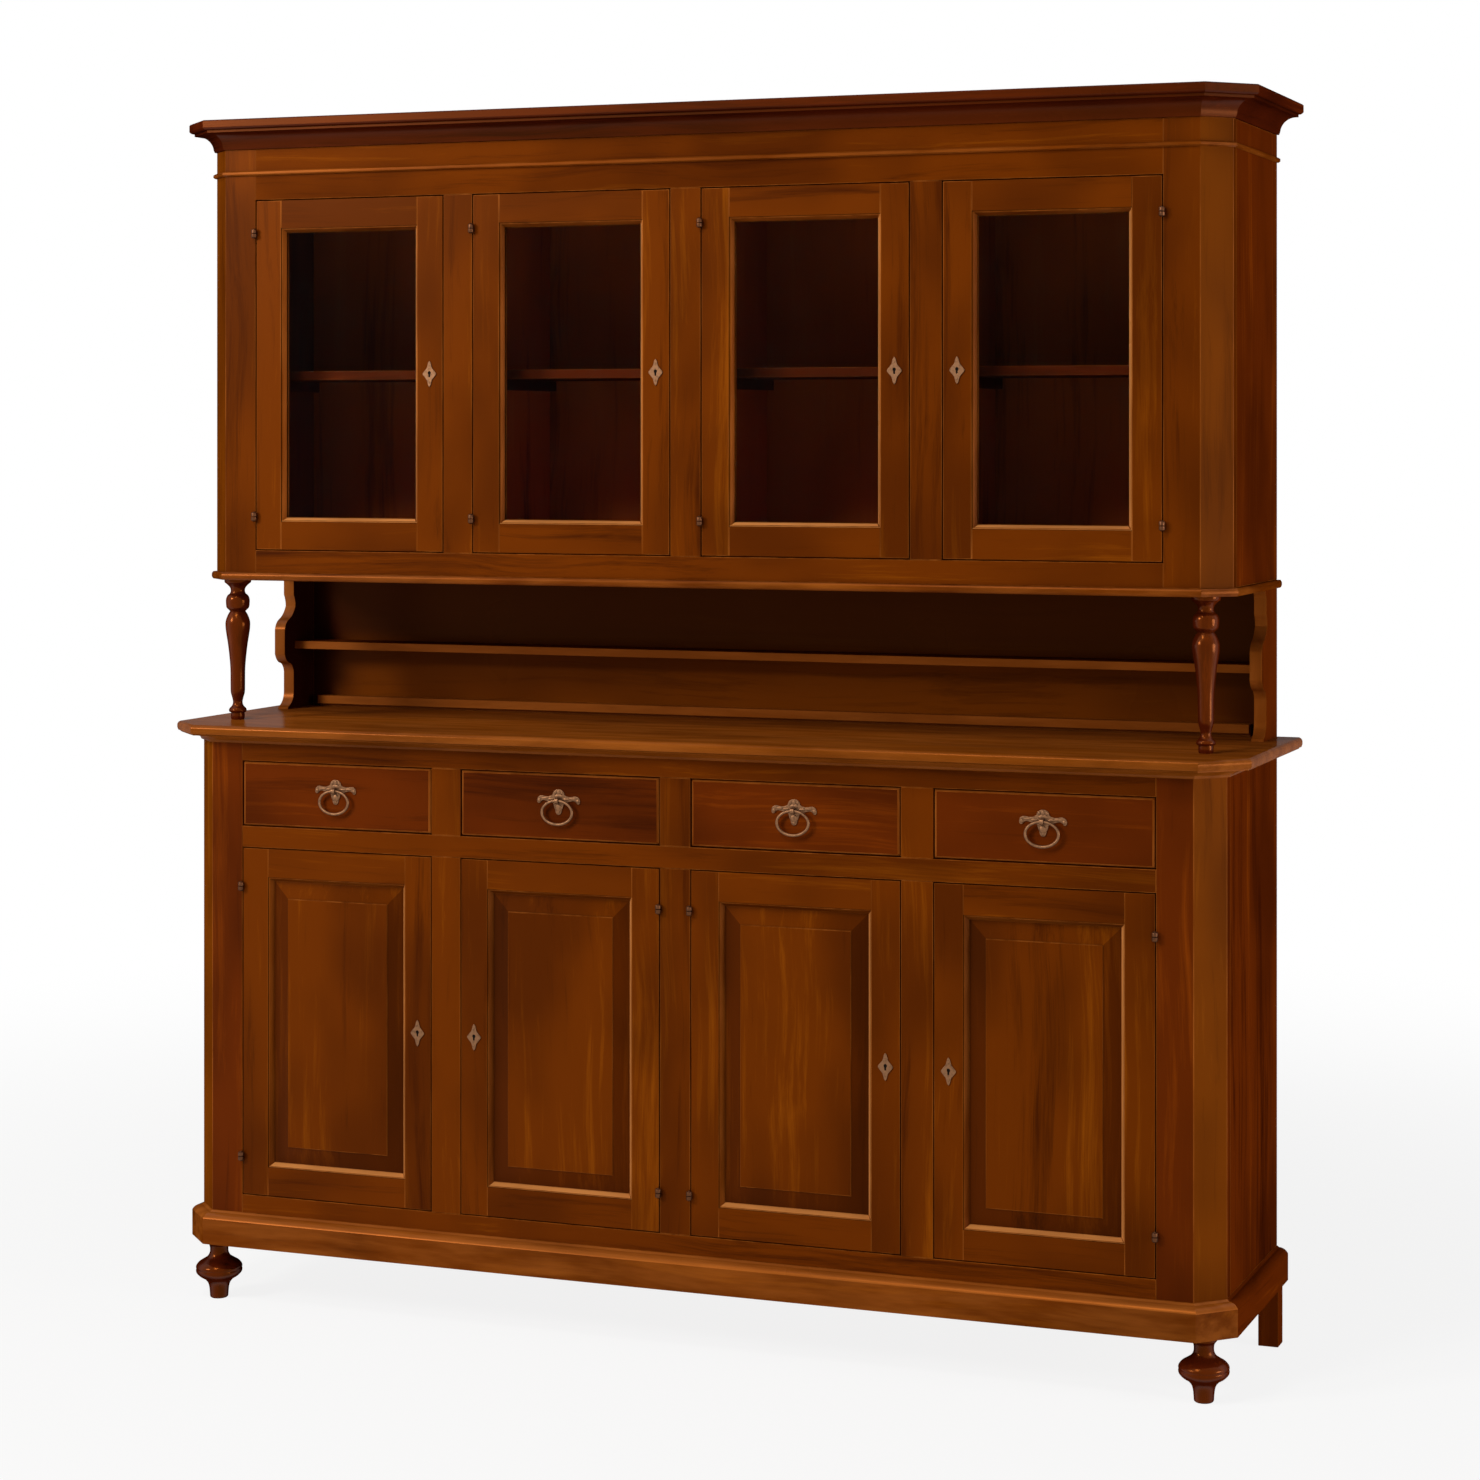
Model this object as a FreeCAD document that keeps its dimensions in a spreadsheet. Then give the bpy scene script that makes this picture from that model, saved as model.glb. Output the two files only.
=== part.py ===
import FreeCAD, Part
import math
import os

import Sketcher

# Dresser with hutch, four bays wide.
# Millimetres, +Z up, +X to the right and -Y to the front as seen by the person who uses it.
# The origin lies on the floor, below the centre of the overall box.

App = FreeCAD
doc = App.newDocument("DresserWithHutch")

# ---------------------------------------------------------------------------------------------
# Driving sizes. Each one is a plain number in the sheet, under its own alias.
# ---------------------------------------------------------------------------------------------
SIZES = [
    ("body_width", 1960, "width over the sides of both cases"),
    ("base_depth", 430, "depth of the lower case"),
    ("hutch_setback", 47, "front of the upper case behind the front of the lower one"),
    ("cant", 46, "leg of the 45 degree cut across each front corner"),
    ("foot_height", 112, "floor to underside of plinth"),
    ("foot_bulb", 86, "diameter of the turned front foot"),
    ("foot_neck", 34, "diameter of its neck"),
    ("foot_inset", 38, "foot centre inside the front and the side"),
    ("rear_foot", 36, "side of the square rear foot"),
    ("plinth_height", 60, "height of the plinth"),
    ("plinth_nose", 13, "height of the moulding on top of the plinth"),
    ("plinth_step", 20, "how far the plinth stands out"),
    ("plinth_seat", 26, "how far the plinth reaches in below the case"),
    ("bottom_rail", 34, "height of the lower case's bottom rail"),
    ("door_opening", 644, "height of the cupboard openings"),
    ("mid_rail", 39, "height of the rail between doors and drawers"),
    ("drawer_opening", 121, "height of the drawer openings"),
    ("top_rail", 33, "height of the rail under the worktop"),
    ("worktop_thick", 34, "thickness of the worktop"),
    ("worktop_step", 46, "overhang of the worktop"),
    ("open_height", 265, "clear height between worktop and upper case"),
    ("lip_thick", 14, "thickness of the moulded board under the upper case"),
    ("lip_step", 9, "how far that board stands out"),
    ("hutch_rail", 42, "height of the upper case's bottom rail"),
    ("glass_opening", 654, "height of the glazed door openings"),
    ("frieze", 95, "height of the upper case's top rail"),
    ("cornice_height", 53, "height of the cornice"),
    ("cornice_step", 48, "projection of the cornice"),
    ("cornice_seat", 30, "how far the cornice reaches in over the case"),
    ("bead_rise", 50, "centre of the bead above the door openings"),
    ("bead_height", 9, "height of the bead"),
    ("post_width", 110, "width of a corner post on the front"),
    ("post_depth", 68, "depth of a corner post"),
    ("stile_width", 58, "width of the stiles between the bays"),
    ("frame_thick", 22, "thickness of rails and stiles of the cases"),
    ("side_thick", 22, "thickness of the case sides"),
    ("wall_thick", 18, "thickness of the partitions inside"),
    ("board_thick", 18, "thickness of floors, dust boards and the roof"),
    ("shelf_thick", 16, "thickness of the shelves"),
    ("shelf_setback", 76, "front edge of a shelf behind the front of its case"),
    ("shelf_play", 1, "gap at each end of a loose shelf"),
    ("cleat_width", 14, "width of the battens that carry a shelf"),
    ("cleat_height", 20, "height of those battens"),
    ("back_thick", 8, "thickness of the back panels"),
    ("door_gap", 2, "gap around doors and drawer fronts"),
    ("door_thick", 22, "thickness of a door"),
    ("door_stile", 52, "width of a door's stiles and rails"),
    ("sticking", 8, "width of the moulding around panel and glass"),
    ("sticking_depth", 9, "depth of that moulding"),
    ("sticking_drop", 1.5, "how far it starts behind the door face"),
    ("stop_thick", 5, "thickness of the bead that holds panel or glass"),
    ("panel_step", 1.5, "small step around the raised field"),
    ("panel_bevel", 31, "width of the bevel around the raised panel"),
    ("panel_thick", 6, "thickness of the panel's back board"),
    ("glass_thick", 4, "thickness of the glass"),
    ("drawer_depth", 370, "length of the drawer box"),
    ("drawer_side", 90, "height of the drawer sides"),
    ("drawer_wall", 12, "thickness of the drawer sides and back"),
    ("drawer_floor", 6, "thickness of the drawer bottom"),
    ("drawer_play", 4, "drawer side inside the edge of its opening"),
    ("runner_play", 0.3, "air between drawer and runner"),
    ("runner_thick", 7, "height of a runner above its dust board, up to the drawer"),
    ("guide_height", 15, "height of the guides beside a drawer"),
    ("guide_play", 1, "air between a drawer side and its guide"),
    ("drawer_groove", 8, "underside of the drawer bottom above the drawer's edge"),
    ("front_bevel", 3, "bevel around a drawer front"),
    ("column_top", 46, "largest diameter of a column"),
    ("column_neck", 27, "diameter of a column's shaft above its foot"),
    ("column_inset", 47, "column centre inside the case side"),
    ("column_back", 43, "column centre behind the upper case's front"),
    ("bracket_thick", 22, "thickness of a scroll bracket"),
    ("bracket_neck", 86, "depth of the bracket at its neck"),
    ("bracket_nose", 121, "depth of the bracket at its nose"),
    ("bracket_foot", 108, "depth of the bracket on the worktop"),
    ("ledge_rise", 117, "underside of the open shelf above the worktop"),
    ("ledge_thick", 15, "thickness of the open shelf"),
    ("ledge_depth", 74, "depth of the open shelf"),
    ("rail_gap", 6, "height of the shadow gap under the plate rail"),
    ("rail_height", 16, "height of the plate rail"),
    ("rail_depth", 22, "depth of the plate rail"),
    ("rail_inset", 44, "plate rail's end inside the case side"),
    ("hinge_barrel", 11, "diameter of a hinge barrel"),
    ("hinge_half", 9.5, "height of each half of a hinge barrel"),
    ("hinge_pin", 4, "diameter of a hinge pin"),
    ("pin_play", 0.35, "radial air around pins and rings"),
    ("hinge_stand", 6, "hinge axis in front of the door face"),
    ("leaf_thick", 1.2, "thickness of a hinge leaf"),
    ("leaf_depth", 16, "how far a leaf reaches into the gap"),
    ("low_hinge", 72, "hinge centre from the end of a cupboard opening"),
    ("high_hinge", 63, "hinge centre from the end of a glazed opening"),
    ("plate_thick", 2, "thickness of the brass plates"),
    ("key_plate_height", 48, "height of a key plate"),
    ("key_plate_width", 27, "width of a key plate"),
    ("pull_width", 84, "width of a pull's back plate"),
    ("pull_rise", 12, "ring axis above the middle of the drawer front"),
    ("pull_stand", 8.5, "ring axis in front of the drawer front"),
    ("ring_width", 60, "width of the ring along its centre line"),
    ("ring_drop", 43, "height of the ring along its centre line"),
    ("ring_wire", 5.5, "thickness of the ring"),
    ("boss_width", 7, "width of the eye that holds the ring"),
]

sheet = doc.addObject("Spreadsheet::Sheet", "Sizes")
for row, (alias, number, note) in enumerate(SIZES, start=1):
    sheet.set("A%d" % row, alias)
    sheet.set("B%d" % row, str(number))
    sheet.set("C%d" % row, note)
    sheet.setAlias("B%d" % row, alias)
doc.recompute()


class Size:
    """A length that keeps its number and the expression which ties it to the sheet."""

    def __init__(self, number, text):
        self.number = float(number)
        self.text = text

    @staticmethod
    def of(value):
        return value if isinstance(value, Size) else Size(value, repr(float(value)))

    def __add__(self, other):
        other = Size.of(other)
        return Size(self.number + other.number, "(%s + %s)" % (self.text, other.text))

    def __sub__(self, other):
        other = Size.of(other)
        return Size(self.number - other.number, "(%s - %s)" % (self.text, other.text))

    def __mul__(self, other):
        other = Size.of(other)
        return Size(self.number * other.number, "(%s * %s)" % (self.text, other.text))

    def __truediv__(self, other):
        other = Size.of(other)
        return Size(self.number / other.number, "(%s / %s)" % (self.text, other.text))

    def __radd__(self, other):
        return Size.of(other) + self

    def __rsub__(self, other):
        return Size.of(other) - self

    def __rmul__(self, other):
        return Size.of(other) * self

    def __neg__(self):
        return Size(-self.number, "(-%s)" % self.text)


def root(value):
    return Size(math.sqrt(value.number), "sqrt(%s)" % value.text)


def bind(obj, prop, value):
    obj.setExpression(prop, Size.of(value).text)


def size(alias):
    return Size(float(sheet.get(alias)), "Sizes.%s" % alias)


S = type("Named", (), {alias: size(alias) for alias, number, note in SIZES})

# ---------------------------------------------------------------------------------------------
# Levels and bays that the pieces share
# ---------------------------------------------------------------------------------------------
half = S.body_width / 2
front = (S.worktop_step - S.base_depth) / 2          # Y of the lower case's front face
flat = half - S.post_width                           # half length of the rails
back = S.base_depth - S.back_thick                   # depth at the face of the back panels
inner = half - S.side_thick                          # inside of the case sides
hutch = S.hutch_setback
SLANT = Size(math.sqrt(2) - 1, "(sqrt(2) - 1)")      # tangent of half a 45 degree corner

z_plinth = S.foot_height
z_body = z_plinth + S.plinth_height
z_door = z_body + S.bottom_rail
z_mid = z_door + S.door_opening
z_drawer = z_mid + S.mid_rail
z_head = z_drawer + S.drawer_opening
z_work = z_head + S.top_rail
z_desk = z_work + S.worktop_thick
z_lip = z_desk + S.open_height
z_hutch = z_lip + S.lip_thick
z_glass = z_hutch + S.hutch_rail
z_frieze = z_glass + S.glass_opening
z_crown = z_frieze + S.frieze

bay = (S.body_width - 2 * S.post_width - 3 * S.stile_width) / 4
pitch = bay + S.stile_width
bay_left = [k * pitch - flat for k in range(4)]
wall_mid = [bay_left[k] - S.stile_width / 2 for k in range(1, 4)]
room_low = [-inner] + [x + S.wall_thick / 2 for x in wall_mid]
room_high = [x - S.wall_thick / 2 for x in wall_mid] + [inner]
room_front = [S.post_depth, S.frame_thick, S.frame_thick, S.post_depth]

parts = {}


# ---------------------------------------------------------------------------------------------
# Builders
# ---------------------------------------------------------------------------------------------
def place(obj, x, y, z):
    for axis, value in zip("xyz", (x, y, z)):
        bind(obj, "Placement.Base.%s" % axis, value)


def board(name, x, y, z, local=False):
    """A rectangular board between two values along each axis; y is the depth behind the front."""
    box = doc.addObject("Part::Box", name)
    for prop, (low, high) in zip(("Length", "Width", "Height"), (x, y, z)):
        bind(box, prop, Size.of(high) - low)
    place(box, x[0], y[0] if local else front + y[0], z[0])
    return box


def both_sides(low, high):
    """The same stretch of X on the left and on the right."""
    return ((-high, -low), (low, high))


def frustum(name, x, y, z, near, far):
    """A block between the depths y whose front is inset by near and whose back by far."""
    block = doc.addObject("Part::Wedge", name)
    values = {
        "Xmin": x[0] + near, "Xmax": x[1] - near, "Zmin": z[0] + near, "Zmax": z[1] - near,
        "X2min": x[0] + far, "X2max": x[1] - far, "Z2min": z[0] + far, "Z2max": z[1] - far,
        "Ymin": y[0], "Ymax": y[1],
    }
    for prop, value in values.items():
        bind(block, prop, value)
    return block


def cut(name, base, tool):
    obj = doc.addObject("Part::Cut", name)
    obj.Base, obj.Tool = base, tool
    return obj


def fuse(name, pieces):
    obj = doc.addObject("Part::MultiFuse", name)
    obj.Shapes = pieces
    obj.Refine = True
    return obj


def common(name, pieces):
    obj = doc.addObject("Part::MultiCommon", name)
    obj.Shapes = pieces
    return obj


def outline(sketch, points):
    """Draw a closed outline of (x, y, bulge); a bulge bends the side that follows the point.

    Every corner is tied to the sheet by its two coordinates and every arc by its radius,
    which is chord * (1 + bulge^2) / (4 * bulge), so an arc keeps its shape in any size.
    """
    count = len(points)
    corners = [(Size.of(p[0]), Size.of(p[1])) for p in points]
    bulges = [p[2] if len(p) > 2 else 0 for p in points]
    first = []
    last = []
    for i in range(count):
        (x1, y1), (x2, y2) = corners[i], corners[(i + 1) % count]
        a = App.Vector(x1.number, y1.number, 0)
        b = App.Vector(x2.number, y2.number, 0)
        if not bulges[i]:
            geo = sketch.addGeometry(Part.LineSegment(a, b))
            first.append((geo, 1))
            last.append((geo, 2))
            continue
        bulge = bulges[i]
        chord = b - a
        radius = chord.Length * (1 + bulge * bulge) / (4 * abs(bulge))
        normal = App.Vector(-chord.y, chord.x, 0)
        centre = (a + b) * 0.5 + normal * ((1 - bulge * bulge) / (4 * bulge))
        start, end = (a, b) if bulge > 0 else (b, a)
        angles = [math.atan2(p.y - centre.y, p.x - centre.x) for p in (start, end)]
        circle = Part.Circle(centre, App.Vector(0, 0, 1), radius)
        geo = sketch.addGeometry(Part.ArcOfCircle(circle, angles[0], angles[1]))
        first.append((geo, 1 if bulge > 0 else 2))
        last.append((geo, 2 if bulge > 0 else 1))
    for i in range(count):
        sketch.addConstraint(Sketcher.Constraint("Coincident", *last[i], *first[(i + 1) % count]))
    for i, (x, y) in enumerate(corners):
        for kind, value in (("DistanceX", x), ("DistanceY", y)):
            index = sketch.addConstraint(
                Sketcher.Constraint(kind, -1, 1, first[i][0], first[i][1], value.number))
            sketch.setExpression("Constraints[%d]" % index, value.text)
    for i in range(count):
        if bulges[i]:
            (x1, y1), (x2, y2) = corners[i], corners[(i + 1) % count]
            chord = root((x2 - x1) * (x2 - x1) + (y2 - y1) * (y2 - y1))
            radius = chord * ((1 + bulges[i] ** 2) / (4 * abs(bulges[i])))
            index = sketch.addConstraint(
                Sketcher.Constraint("Radius", first[i][0], radius.number))
            sketch.setExpression("Constraints[%d]" % index, radius.text)
    return sketch


def body_sketch(body, role, name):
    sketch = body.newObject("Sketcher::SketchObject", name)
    plane = [f for f in body.Origin.OriginFeatures if f.Role == role][0]
    sketch.AttachmentSupport = [(plane, "")]
    sketch.MapMode = "FlatFace"
    return sketch


def plan(name, points, z):
    """A flat board of any outline seen from above; y is the depth behind the front."""
    body = doc.addObject("PartDesign::Body", name)
    sketch = outline(body_sketch(body, "XY_Plane", name + "_plan"), points)
    pad = body.newObject("PartDesign::Pad", name + "_pad")
    pad.Profile = sketch
    bind(pad, "Length", z[1] - z[0])
    place(body, 0, front, z[0])
    return body


def turned(name, points):
    """A turned piece on the Z axis from (radius, height, bulge)."""
    body = doc.addObject("PartDesign::Body", name)
    sketch = outline(body_sketch(body, "XZ_Plane", name + "_profile"), points)
    turn = body.newObject("PartDesign::Revolution", name + "_turning")
    turn.Profile = sketch
    turn.ReferenceAxis = (sketch, ["V_Axis"])
    turn.Angle = 360
    return body


def fretted(name, role, points, thick, hole=None):
    """A flat piece sawn to an outline, with an optional second outline cut out of it."""
    body = doc.addObject("PartDesign::Body", name)
    sketch = outline(body_sketch(body, role, name + "_outline"), points)
    if hole:
        outline(sketch, hole)
    pad = body.newObject("PartDesign::Pad", name + "_pad")
    pad.Profile = sketch
    bind(pad, "Length", thick)
    return body


def copy_at(name, source, x, y, z):
    """One more piece like the source, moved; y is measured in the part's own frame."""
    link = doc.addObject("App::Link", name)
    link.LinkedObject = source
    link.LinkTransform = False
    place(link, x, y, z)
    return link


def node(name, pieces):
    """One kept sub-part; its label names its file."""
    obj = doc.addObject("Part::Compound", name)
    obj.Label = name
    obj.Links = pieces
    parts[name] = obj
    return obj


# Mouldings. A profile is given as (outward, up, bulge) from the face of the case. It is run
# along the sides, the cut corners and the front, and the lengths meet in mitres.
OUTWARD = App.Rotation(App.Vector(0, -1, 0), App.Vector(0, 0, 1), App.Vector(-1, 0, 0), "XYZ")


def runs(setback):
    """Start, turn and length of the left side, the left corner and the front of a case."""
    return [
        ("side", -half, S.base_depth, -90, S.base_depth - setback - S.cant, False),
        ("corner", -half, setback + S.cant, -45, S.cant * Size(math.sqrt(2), "sqrt(2)"), True),
        ("front", S.cant - half, setback, 0, S.body_width - 2 * S.cant, True),
    ]


def turned_to(obj, angle, rotation=None):
    turn = App.Rotation(App.Vector(0, 0, 1), angle)
    obj.Placement = App.Placement(App.Vector(), turn.multiply(rotation) if rotation else turn)


def run_of(name, profile, x, y, z, angle, before, length):
    """One straight run of a profile, from `before` ahead of its start."""
    section = doc.addObject("Sketcher::SketchObject", name + "_section")
    outline(section, profile)
    turned_to(section, angle, OUTWARD)
    turn = math.radians(angle)
    ahead = (round(math.cos(turn), 9), round(math.sin(turn), 9))
    place(section, x - before * ahead[0], front + y - before * ahead[1], z)
    run = doc.addObject("Part::Extrusion", name + "_run")
    run.Base = section
    run.DirMode = "Normal"
    run.Solid = True
    run.LengthFwd = 0
    bind(run, "LengthRev", length)
    return run


def mitred(name, profile, setback, z, out, seat, height):
    """A moulding in five lengths around a case, mitred at the cut corners."""
    pieces = []
    for label, x, y, angle, length, mitre_start in runs(setback):
        key = "%s_%s" % (name, label)
        reach = out * SLANT
        run = run_of(key, profile, x, y, z, angle, reach, length + 2 * reach)
        mask = doc.addObject("Part::Wedge", key + "_mitres")
        start = 1 if mitre_start else 0
        for prop, value in {
                "Xmin": -reach * start, "Xmax": length + reach,
                "X2min": seat * SLANT * start, "X2max": length - seat * SLANT,
                "Ymin": -out, "Ymax": Size.of(seat), "Zmin": Size.of(0), "Z2min": Size.of(0),
                "Zmax": height, "Z2max": height}.items():
            bind(mask, prop, value)
        turned_to(mask, angle)
        place(mask, x, front + y, z)
        piece = common(key, [run, mask])
        pieces.append(piece)
        if label != "front":
            other = doc.addObject("Part::Mirroring", key + "_right")
            other.Source = piece
            other.Normal = App.Vector(1, 0, 0)
            pieces.append(other)
    return pieces


def moulded_board(name, edge, setback, z, out):
    """A solid board over a case whose side, corner and front edges carry the same moulding."""
    depth = S.base_depth - setback
    pieces = []
    for label, x, y, angle, length, mitre_start in runs(setback):
        key = "%s_%s" % (name, label)
        reach = {"side": S.body_width + 2 * out, "corner": 2 * S.body_width, "front": depth}[label]
        profile = [(-reach, edge[-1][1]), (-reach, edge[0][1])] + edge
        before = Size.of(0) if label == "side" else S.body_width
        run = run_of(key, profile, x, y, z, angle, before, length + before + S.body_width)
        pieces.append(run)
        if label != "front":
            other = doc.addObject("Part::Mirroring", key + "_right")
            other.Source = run
            other.Normal = App.Vector(1, 0, 0)
            pieces.append(other)
    return common(name, pieces)


# ---------------------------------------------------------------------------------------------
# Lower case
# ---------------------------------------------------------------------------------------------
def corner_posts(name, setback, z):
    """Solid posts with the 45 degree cut; they run the whole height of their case."""
    posts = []
    for side, word in ((-1, "left"), (1, "right")):
        points = [(half - S.post_width, setback), (half - S.cant, setback),
                  (half, setback + S.cant), (half, setback + S.post_depth),
                  (half - S.post_width, setback + S.post_depth)]
        points = [(x * side, y) for x, y in points]
        posts.append(plan("%s_%s" % (name, word), points, z))
    return node(name, posts)


def case_board(name, setback, z):
    """Floor or roof of a case, let in behind the rails and around the corner posts."""
    near, deep = setback + S.frame_thick, setback + S.post_depth
    points = [(-flat, near), (flat, near), (flat, deep), (inner, deep), (inner, back),
              (-inner, back), (-inner, deep), (-flat, deep)]
    return plan(name, points, z)


def shelves(name, setback, z):
    """A loose shelf in each bay, on two battens."""
    pieces = []
    depth = (setback + S.shelf_setback, back)
    for k in range(4):
        low, high = room_low[k], room_high[k]
        pieces.append(board("%s_%d" % (name, k + 1), (low + S.shelf_play, high - S.shelf_play),
                            depth, (z, z + S.shelf_thick)))
        for word, x in (("left", (low, low + S.cleat_width)), ("right", (high - S.cleat_width, high))):
            pieces.append(board("%s_batten_%d_%s" % (name, k + 1, word), x, depth,
                                (z - S.cleat_height, z)))
    return node(name, pieces)


h, b, n = S.foot_height, S.foot_bulb / 2, S.foot_neck / 2
foot = turned("front_foot_turning", [
    (0, 0), (n, 0), (n, 0.19 * h), (n + 6, 0.28 * h), (b - 7, 0.34 * h), (b, 0.42 * h),
    (b, 0.52 * h), (b - 7, 0.61 * h), (n + 1, 0.70 * h), (n, 0.81 * h), (n + 5, 0.92 * h),
    (n + 5, h), (0, h)])
node("front_feet", [copy_at("front_foot_" + word, foot, side * (half - S.foot_inset),
                            front + S.foot_inset, 0)
                    for side, word in ((-1, "left"), (1, "right"))])
node("rear_feet", [
    board("rear_foot_" + word, x, (S.base_depth - S.rear_foot, S.base_depth), (0, z_plinth))
    for word, x in zip(("left", "right"), both_sides(half + S.plinth_step / 2 - S.rear_foot,
                                                     half + S.plinth_step / 2))])

h, p = S.plinth_height, S.plinth_step
plinth_profile = [(-S.plinth_seat, 0), (p, 0), (p, h - S.plinth_nose, 0.3), (0.2 * p, 0.95 * h),
                  (0, h), (-S.plinth_seat, h)]
node("plinth", mitred("plinth", plinth_profile, 0, z_plinth, p, S.plinth_seat, h) + [
    board("plinth_back", (S.plinth_seat - half, half - S.plinth_seat),
          (S.base_depth - S.frame_thick, S.base_depth), (z_plinth, z_body))])

corner_posts("base_corner_posts", 0, (z_body, z_work))
node("base_sides", [board("base_side_" + word, x, (S.post_depth, S.base_depth), (z_body, z_work))
                    for word, x in zip(("left", "right"), both_sides(inner, half))])

face = (0, S.frame_thick)
frame = [board("base_bottom_rail", (-flat, flat), face, (z_body, z_door)),
         board("base_mid_rail", (-flat, flat), face, (z_mid, z_drawer)),
         board("base_top_rail", (-flat, flat), face, (z_head, z_work))]
for k in range(1, 4):
    x = (bay_left[k] - S.stile_width, bay_left[k])
    frame.append(board("base_stile_%d" % k, x, face, (z_door, z_mid)))
    frame.append(board("drawer_divider_%d" % k, x, face, (z_drawer, z_head)))
node("base_face_frame", frame)

node("base_partitions", [
    board("base_partition_%d" % (k + 1), (wall_mid[k] - S.wall_thick / 2, wall_mid[k] + S.wall_thick / 2),
          (S.frame_thick, back), (z_door, z_work)) for k in range(3)])

runner_top = z_drawer + S.door_gap - S.runner_play
dust_top = z_drawer + S.door_gap - S.runner_thick
base_boards = [case_board("base_floor", 0, (z_door - S.board_thick, z_door))]
for k in range(4):
    base_boards.append(board("dust_board_%d" % (k + 1), (room_low[k], room_high[k]),
                             (room_front[k], back), (dust_top - S.board_thick, dust_top)))
node("base_boards", base_boards)

rest = (S.stile_width - S.wall_thick) / 2
runners = []
for k in range(4):
    edge = bay_left[k]
    for word, sign, x in (("left", 1, edge), ("right", -1, edge + bay)):
        ends = [x - rest * sign, x + (S.drawer_play + S.drawer_wall) * sign]
        fence = [x - rest * sign, x + (S.drawer_play - S.guide_play) * sign]
        for label, (low, high), z in (("runner", ends[::sign], (dust_top, runner_top)),
                                      ("guide", fence[::sign], (runner_top, runner_top + S.guide_height))):
            runners.append(board("drawer_%s_%d_%s" % (label, k + 1, word), (low, high),
                                 (S.post_depth, back), z))
node("drawer_runners", runners)
shelves("base_shelves", 0, z_door + S.door_opening / 2)
node("base_back", [board("base_back_panel", (-inner, inner), (back, S.base_depth), (z_body, z_work))])

w, t = S.worktop_step, S.worktop_thick
worktop_edge = [(0.09 * w, 0), (0.13 * w, 0.12 * t, -0.2), (0.87 * w, 0.41 * t), (0.87 * w, 0.5 * t),
                (0.96 * w, 0.5 * t), (w, 0.65 * t), (w, 0.79 * t, 0.35), (0.85 * w, t)]
node("worktop", [moulded_board("worktop_board", worktop_edge, Size.of(0), z_work, w)])

# ---------------------------------------------------------------------------------------------
# Open stage between worktop and upper case
# ---------------------------------------------------------------------------------------------
h, b, n = S.open_height, S.column_top / 2, S.column_neck / 2
column = turned("column_turning", [
    (0, 0), (n - 1, 0), (n - 1, 0.06 * h), (n + 3, 0.06 * h), (n + 3, 0.08 * h),
    (n - 5, 0.13 * h), (n, 0.20 * h), (n, 0.38 * h), (n + 5, 0.54 * h), (b, 0.67 * h),
    (b, 0.71 * h), (n, 0.78 * h), (b - 1, 0.82 * h), (b - 1, 0.87 * h), (n, 0.90 * h),
    (n, 0.935 * h), (b + 2, 0.985 * h), (b + 2, h), (0, h)])
node("columns", [copy_at("column_" + word, column, side * (half - S.column_inset),
                         front + hutch + S.column_back, z_desk)
                 for side, word in ((-1, "left"), (1, "right"))])

h, d = S.open_height, S.base_depth
neck, nose, toe = d - S.bracket_neck, d - S.bracket_nose, d - S.bracket_foot
scroll = [(d, 0), (d, h), (neck - 14, h, -0.35), (neck, 0.93 * h), (neck, 0.84 * h, -0.15),
          (neck + 7, 0.755 * h, -0.2), (neck - 20, 0.66 * h, 0.25), (nose, 0.585 * h),
          (nose, 0.41 * h, 0.3), (neck - 12, 0.335 * h, -0.25), (neck, 0.27 * h),
          (neck, 0.13 * h, -0.35), (toe, 0.015 * h), (toe, 0)]
brackets = []
for word, x in (("left", -half), ("right", half - S.bracket_thick)):
    bracket = fretted("scroll_bracket_" + word, "YZ_Plane", scroll, S.bracket_thick)
    place(bracket, x, front, z_desk)
    brackets.append(bracket)
node("scroll_brackets", brackets)

stage = half - S.bracket_thick
plate_rail = half - S.rail_inset
node("open_shelf", [
    board("open_shelf_board", (-stage, stage), (back - S.ledge_depth, back),
          (z_desk + S.ledge_rise, z_desk + S.ledge_rise + S.ledge_thick)),
    board("plate_rail_foot", (-plate_rail, plate_rail), (back - S.rail_depth / 2, back),
          (z_desk, z_desk + S.rail_gap)),
    board("plate_rail", (-plate_rail, plate_rail), (back - S.rail_depth, back),
          (z_desk + S.rail_gap, z_desk + S.rail_gap + S.rail_height))])

# ---------------------------------------------------------------------------------------------
# Upper case
# ---------------------------------------------------------------------------------------------
w, t = S.lip_step, S.lip_thick
lip_edge = [(0.67 * w, 0, 0.25), (w, 0.5 * t, 0.25), (0.67 * w, t)]
node("hutch_lip", [moulded_board("hutch_lip_board", lip_edge, hutch, z_lip, w)])

corner_posts("hutch_corner_posts", hutch, (z_hutch, z_crown))
node("hutch_sides", [
    board("hutch_side_" + word, x, (hutch + S.post_depth, S.base_depth), (z_hutch, z_crown))
    for word, x in zip(("left", "right"), both_sides(inner, half))])

face = (hutch, hutch + S.frame_thick)
frame = [board("hutch_bottom_rail", (-flat, flat), face, (z_hutch, z_glass)),
         board("hutch_top_rail", (-flat, flat), face, (z_frieze, z_crown))]
for k in range(1, 4):
    frame.append(board("hutch_stile_%d" % k, (bay_left[k] - S.stile_width, bay_left[k]), face,
                       (z_glass, z_frieze)))
node("hutch_face_frame", frame)

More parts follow.
